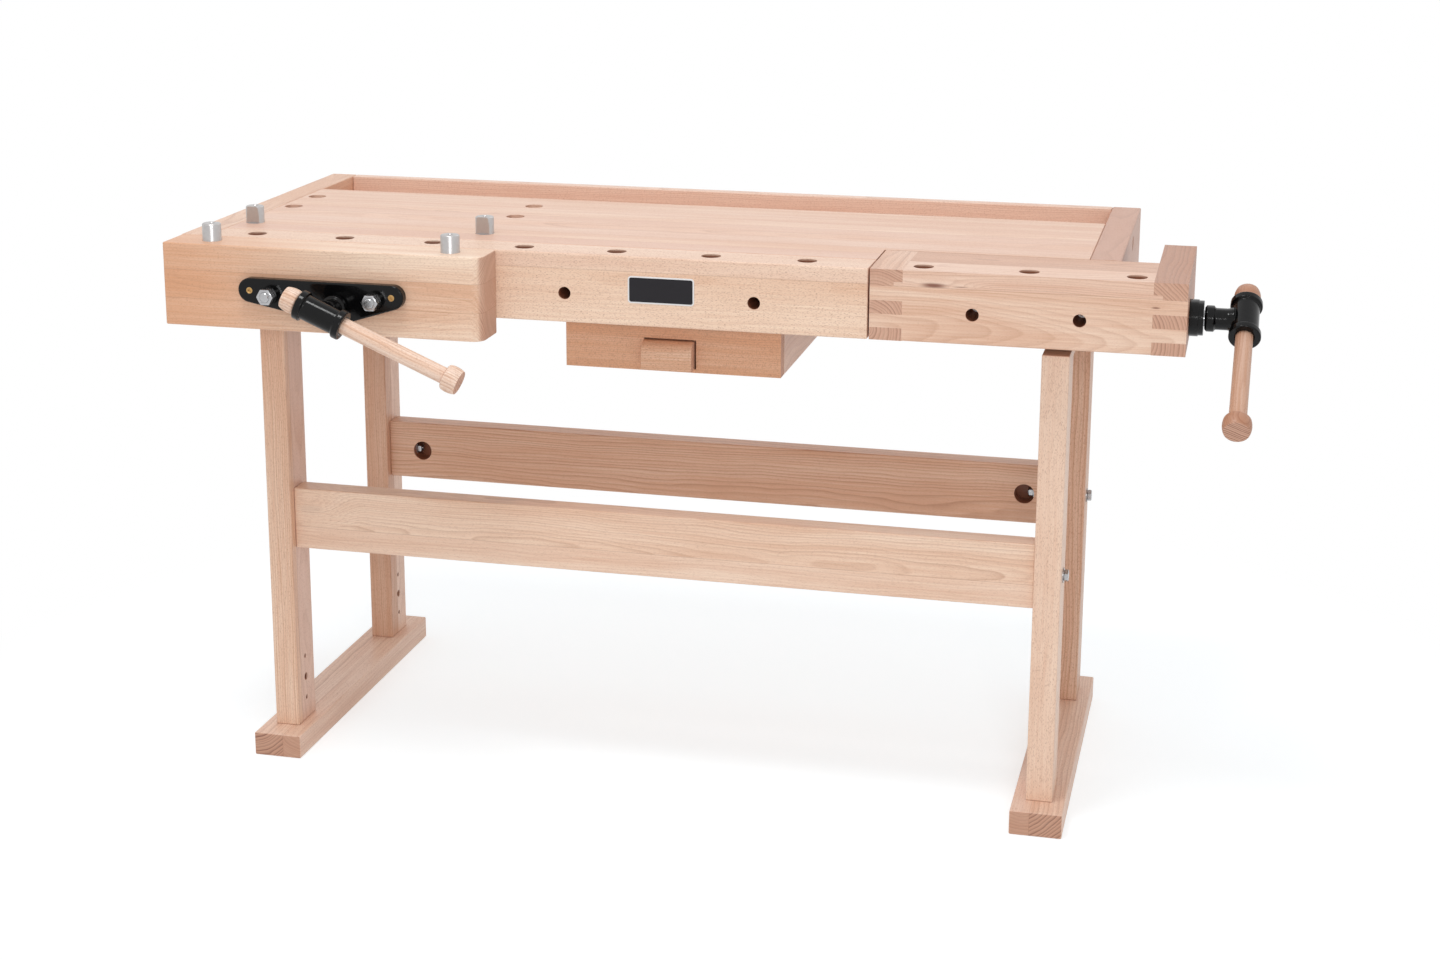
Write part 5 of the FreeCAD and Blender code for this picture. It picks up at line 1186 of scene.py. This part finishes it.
# Each lamp's place, the point that it is aimed at, and its width.
LAMPS = {
    "overhead": ((-0.5, -1.3, 4.4), (0.0, 0.0, 0.6), 1.0),
    "front": ((1.4, -5.2, 2.2), (0.2, 0.0, 0.6), 1.0),
    "back": ((0.6, 2.2, 3.0), (0.0, 0.2, 0.8), 1.6),
}
CAMERA_PLACE = (0.85407, -3.64102, 1.59966)
CAMERA_YAW, CAMERA_PITCH, CAMERA_ROLL = -0.24425, 0.23562, 0.00135
FLOOR_REACH, SHADE_START, SHADE_END = 30, 0.9, 1.5
SHADE_COLOUR, SHADE_VEIL = (0.575, 0.62, 0.645, 1), 0.56


class BENCH_OT_stage(bpy.types.Operator):
    """A plain pale floor, soft studio light and the camera"""
    bl_idname = "bench.stage"
    bl_label = "Floor, light and camera"

    def execute(self, context):
        stage = context.scene.bench_stage
        self.add_floor()
        for name, (place, aim, size) in LAMPS.items():
            self.add_lamp(name, place, aim, size, getattr(stage, name + "_power"))
        self.add_room(stage.room_light)
        self.add_camera()
        context.scene.view_settings.view_transform = "Standard"
        return {"FINISHED"}

    def add_floor(self):
        """A floor that is white to the eye, apart from the shade near the bench."""
        shape = bmesh.new()
        bmesh.ops.create_grid(shape, x_segments=4, y_segments=4, size=FLOOR_REACH)
        mesh = as_mesh(shape, "floor")
        floor = linked("floor", mesh)
        finish = Finish("floor_paint")
        matt = finish.add("BsdfDiffuse", {}, {"Color": (0.85, 0.85, 0.85, 1)})
        shade = finish.add("BsdfDiffuse", {}, {"Color": SHADE_COLOUR})
        veil = finish.add("Emission", {}, {"Color": (1, 1, 1, 1), "Strength": SHADE_VEIL})
        white = finish.add("Emission", {}, {"Color": (1, 1, 1, 1), "Strength": 1.0})
        near = finish.add("AddShader", {}, {0: shade, 1: veil})
        x, y, _ = finish.parts(finish.add("TexCoord", output="Object"))
        away = (x * x + y * y).root().ramp(SHADE_START, SHADE_END)
        shown = finish.add("MixShader", {}, {0: away, 1: near, 2: white})
        solid = finish.add("MixShader", {}, {0: seen(finish), 1: matt, 2: shown})
        under = finish.add("NewGeometry", output="Backfacing")
        below = under * finish.add("LightPath", output="Is Camera Ray")
        clear = finish.add("BsdfTransparent")
        mesh.materials.append(finish.shaded(finish.add("MixShader", {}, {0: below, 1: solid, 2: clear})))

    def add_lamp(self, name, place, aim, size, power):
        """A square soft light aimed at a point."""
        lamp = bpy.data.lights.new(name, "AREA")
        lamp.size = size
        lamp.energy = power
        thing = linked(name, lamp)
        thing.location = place
        thing.rotation_euler = (Vector(aim) - Vector(place)).to_track_quat("-Z", "Y").to_euler()

    def add_room(self, strength):
        """Even light from all round, with white behind everything."""
        room = Finish("room", bpy.data.worlds)
        soft = room.add("Background", {}, {"Color": (1, 1, 1, 1), "Strength": strength})
        white = room.add("Background", {}, {"Color": (1, 1, 1, 1), "Strength": 1.0})
        bpy.context.scene.world = room.shaded(room.add("MixShader", {}, {0: seen(room), 1: soft, 2: white}))

    def add_camera(self):
        """The camera, a little to the right of the bench and above it."""
        yaw, pitch, roll = CAMERA_YAW, CAMERA_PITCH, CAMERA_ROLL
        ahead = Vector((math.sin(yaw) * math.cos(pitch), math.cos(yaw) * math.cos(pitch), -math.sin(pitch)))
        right = Vector((math.cos(yaw), -math.sin(yaw), 0))
        up = right.cross(ahead)
        right, up = (math.cos(roll) * right + math.sin(roll) * up,
                     math.cos(roll) * up - math.sin(roll) * right)
        lens = bpy.data.cameras.new("camera")
        lens.sensor_width = 36
        lens.lens = 58.302
        lens.shift_x = 0.01745
        lens.shift_y = -0.08979
        lens.clip_end = 60
        camera = linked("camera", lens)
        turn = Matrix((right, up, -ahead)).transposed().to_4x4()
        camera.matrix_world = Matrix.Translation(CAMERA_PLACE) @ turn
        bpy.context.scene.camera = camera


def seen(finish):
    """1 where the camera looks straight or in a reflection, otherwise 0."""
    return finish.add("LightPath", output="Is Camera Ray").most(
        finish.add("LightPath", output="Is Glossy Ray"))


# --- panel and run ---

PIECES = (BENCH_OT_worktop, BENCH_OT_vise_wood, BENCH_OT_base_wood, BENCH_OT_drawer_wood, BENCH_OT_handles,
          BENCH_OT_dogs, BENCH_OT_vise_heads, BENCH_OT_vise_screws, BENCH_OT_castings, BENCH_OT_guide_rods,
          BENCH_OT_casting_screws, BENCH_OT_stretcher_bolts, BENCH_OT_top_fixings, BENCH_OT_name_plate,
          BENCH_OT_stage)


class BENCH_PT_panel(bpy.types.Panel):
    """The bench's settings and the steps that make it"""
    bl_idname = "BENCH_PT_panel"
    bl_label = "Woodworking Bench"
    bl_space_type = "VIEW_3D"
    bl_region_type = "UI"
    bl_category = "Bench"

    def draw(self, context):
        for group in (context.scene.bench_colours, context.scene.bench_details, context.scene.bench_stage):
            box = self.layout.box()
            for key in group.bl_rna.properties.keys():
                if key not in ("rna_type", "name"):
                    box.prop(group, key)
        for operator in PIECES:
            self.layout.operator(operator.bl_idname)


CLASSES = (BenchColours, BenchDetails, BenchStage, *PIECES, BENCH_PT_panel)
SETTINGS = {"bench_colours": BenchColours, "bench_details": BenchDetails, "bench_stage": BenchStage}


def register():
    """Make the classes and their settings known."""
    for item in CLASSES:
        bpy.utils.register_class(item)
    for name, group in SETTINGS.items():
        setattr(bpy.types.Scene, name, PointerProperty(type=group))


def unregister():
    """Take the settings and the classes away again."""
    for name in SETTINGS:
        delattr(bpy.types.Scene, name)
    for item in reversed(CLASSES):
        bpy.utils.unregister_class(item)


def main():
    """Make every piece."""
    register()
    for operator in PIECES:
        getattr(bpy.ops.bench, operator.bl_idname.split(".")[1])()


if __name__ == "__main__":
    main()
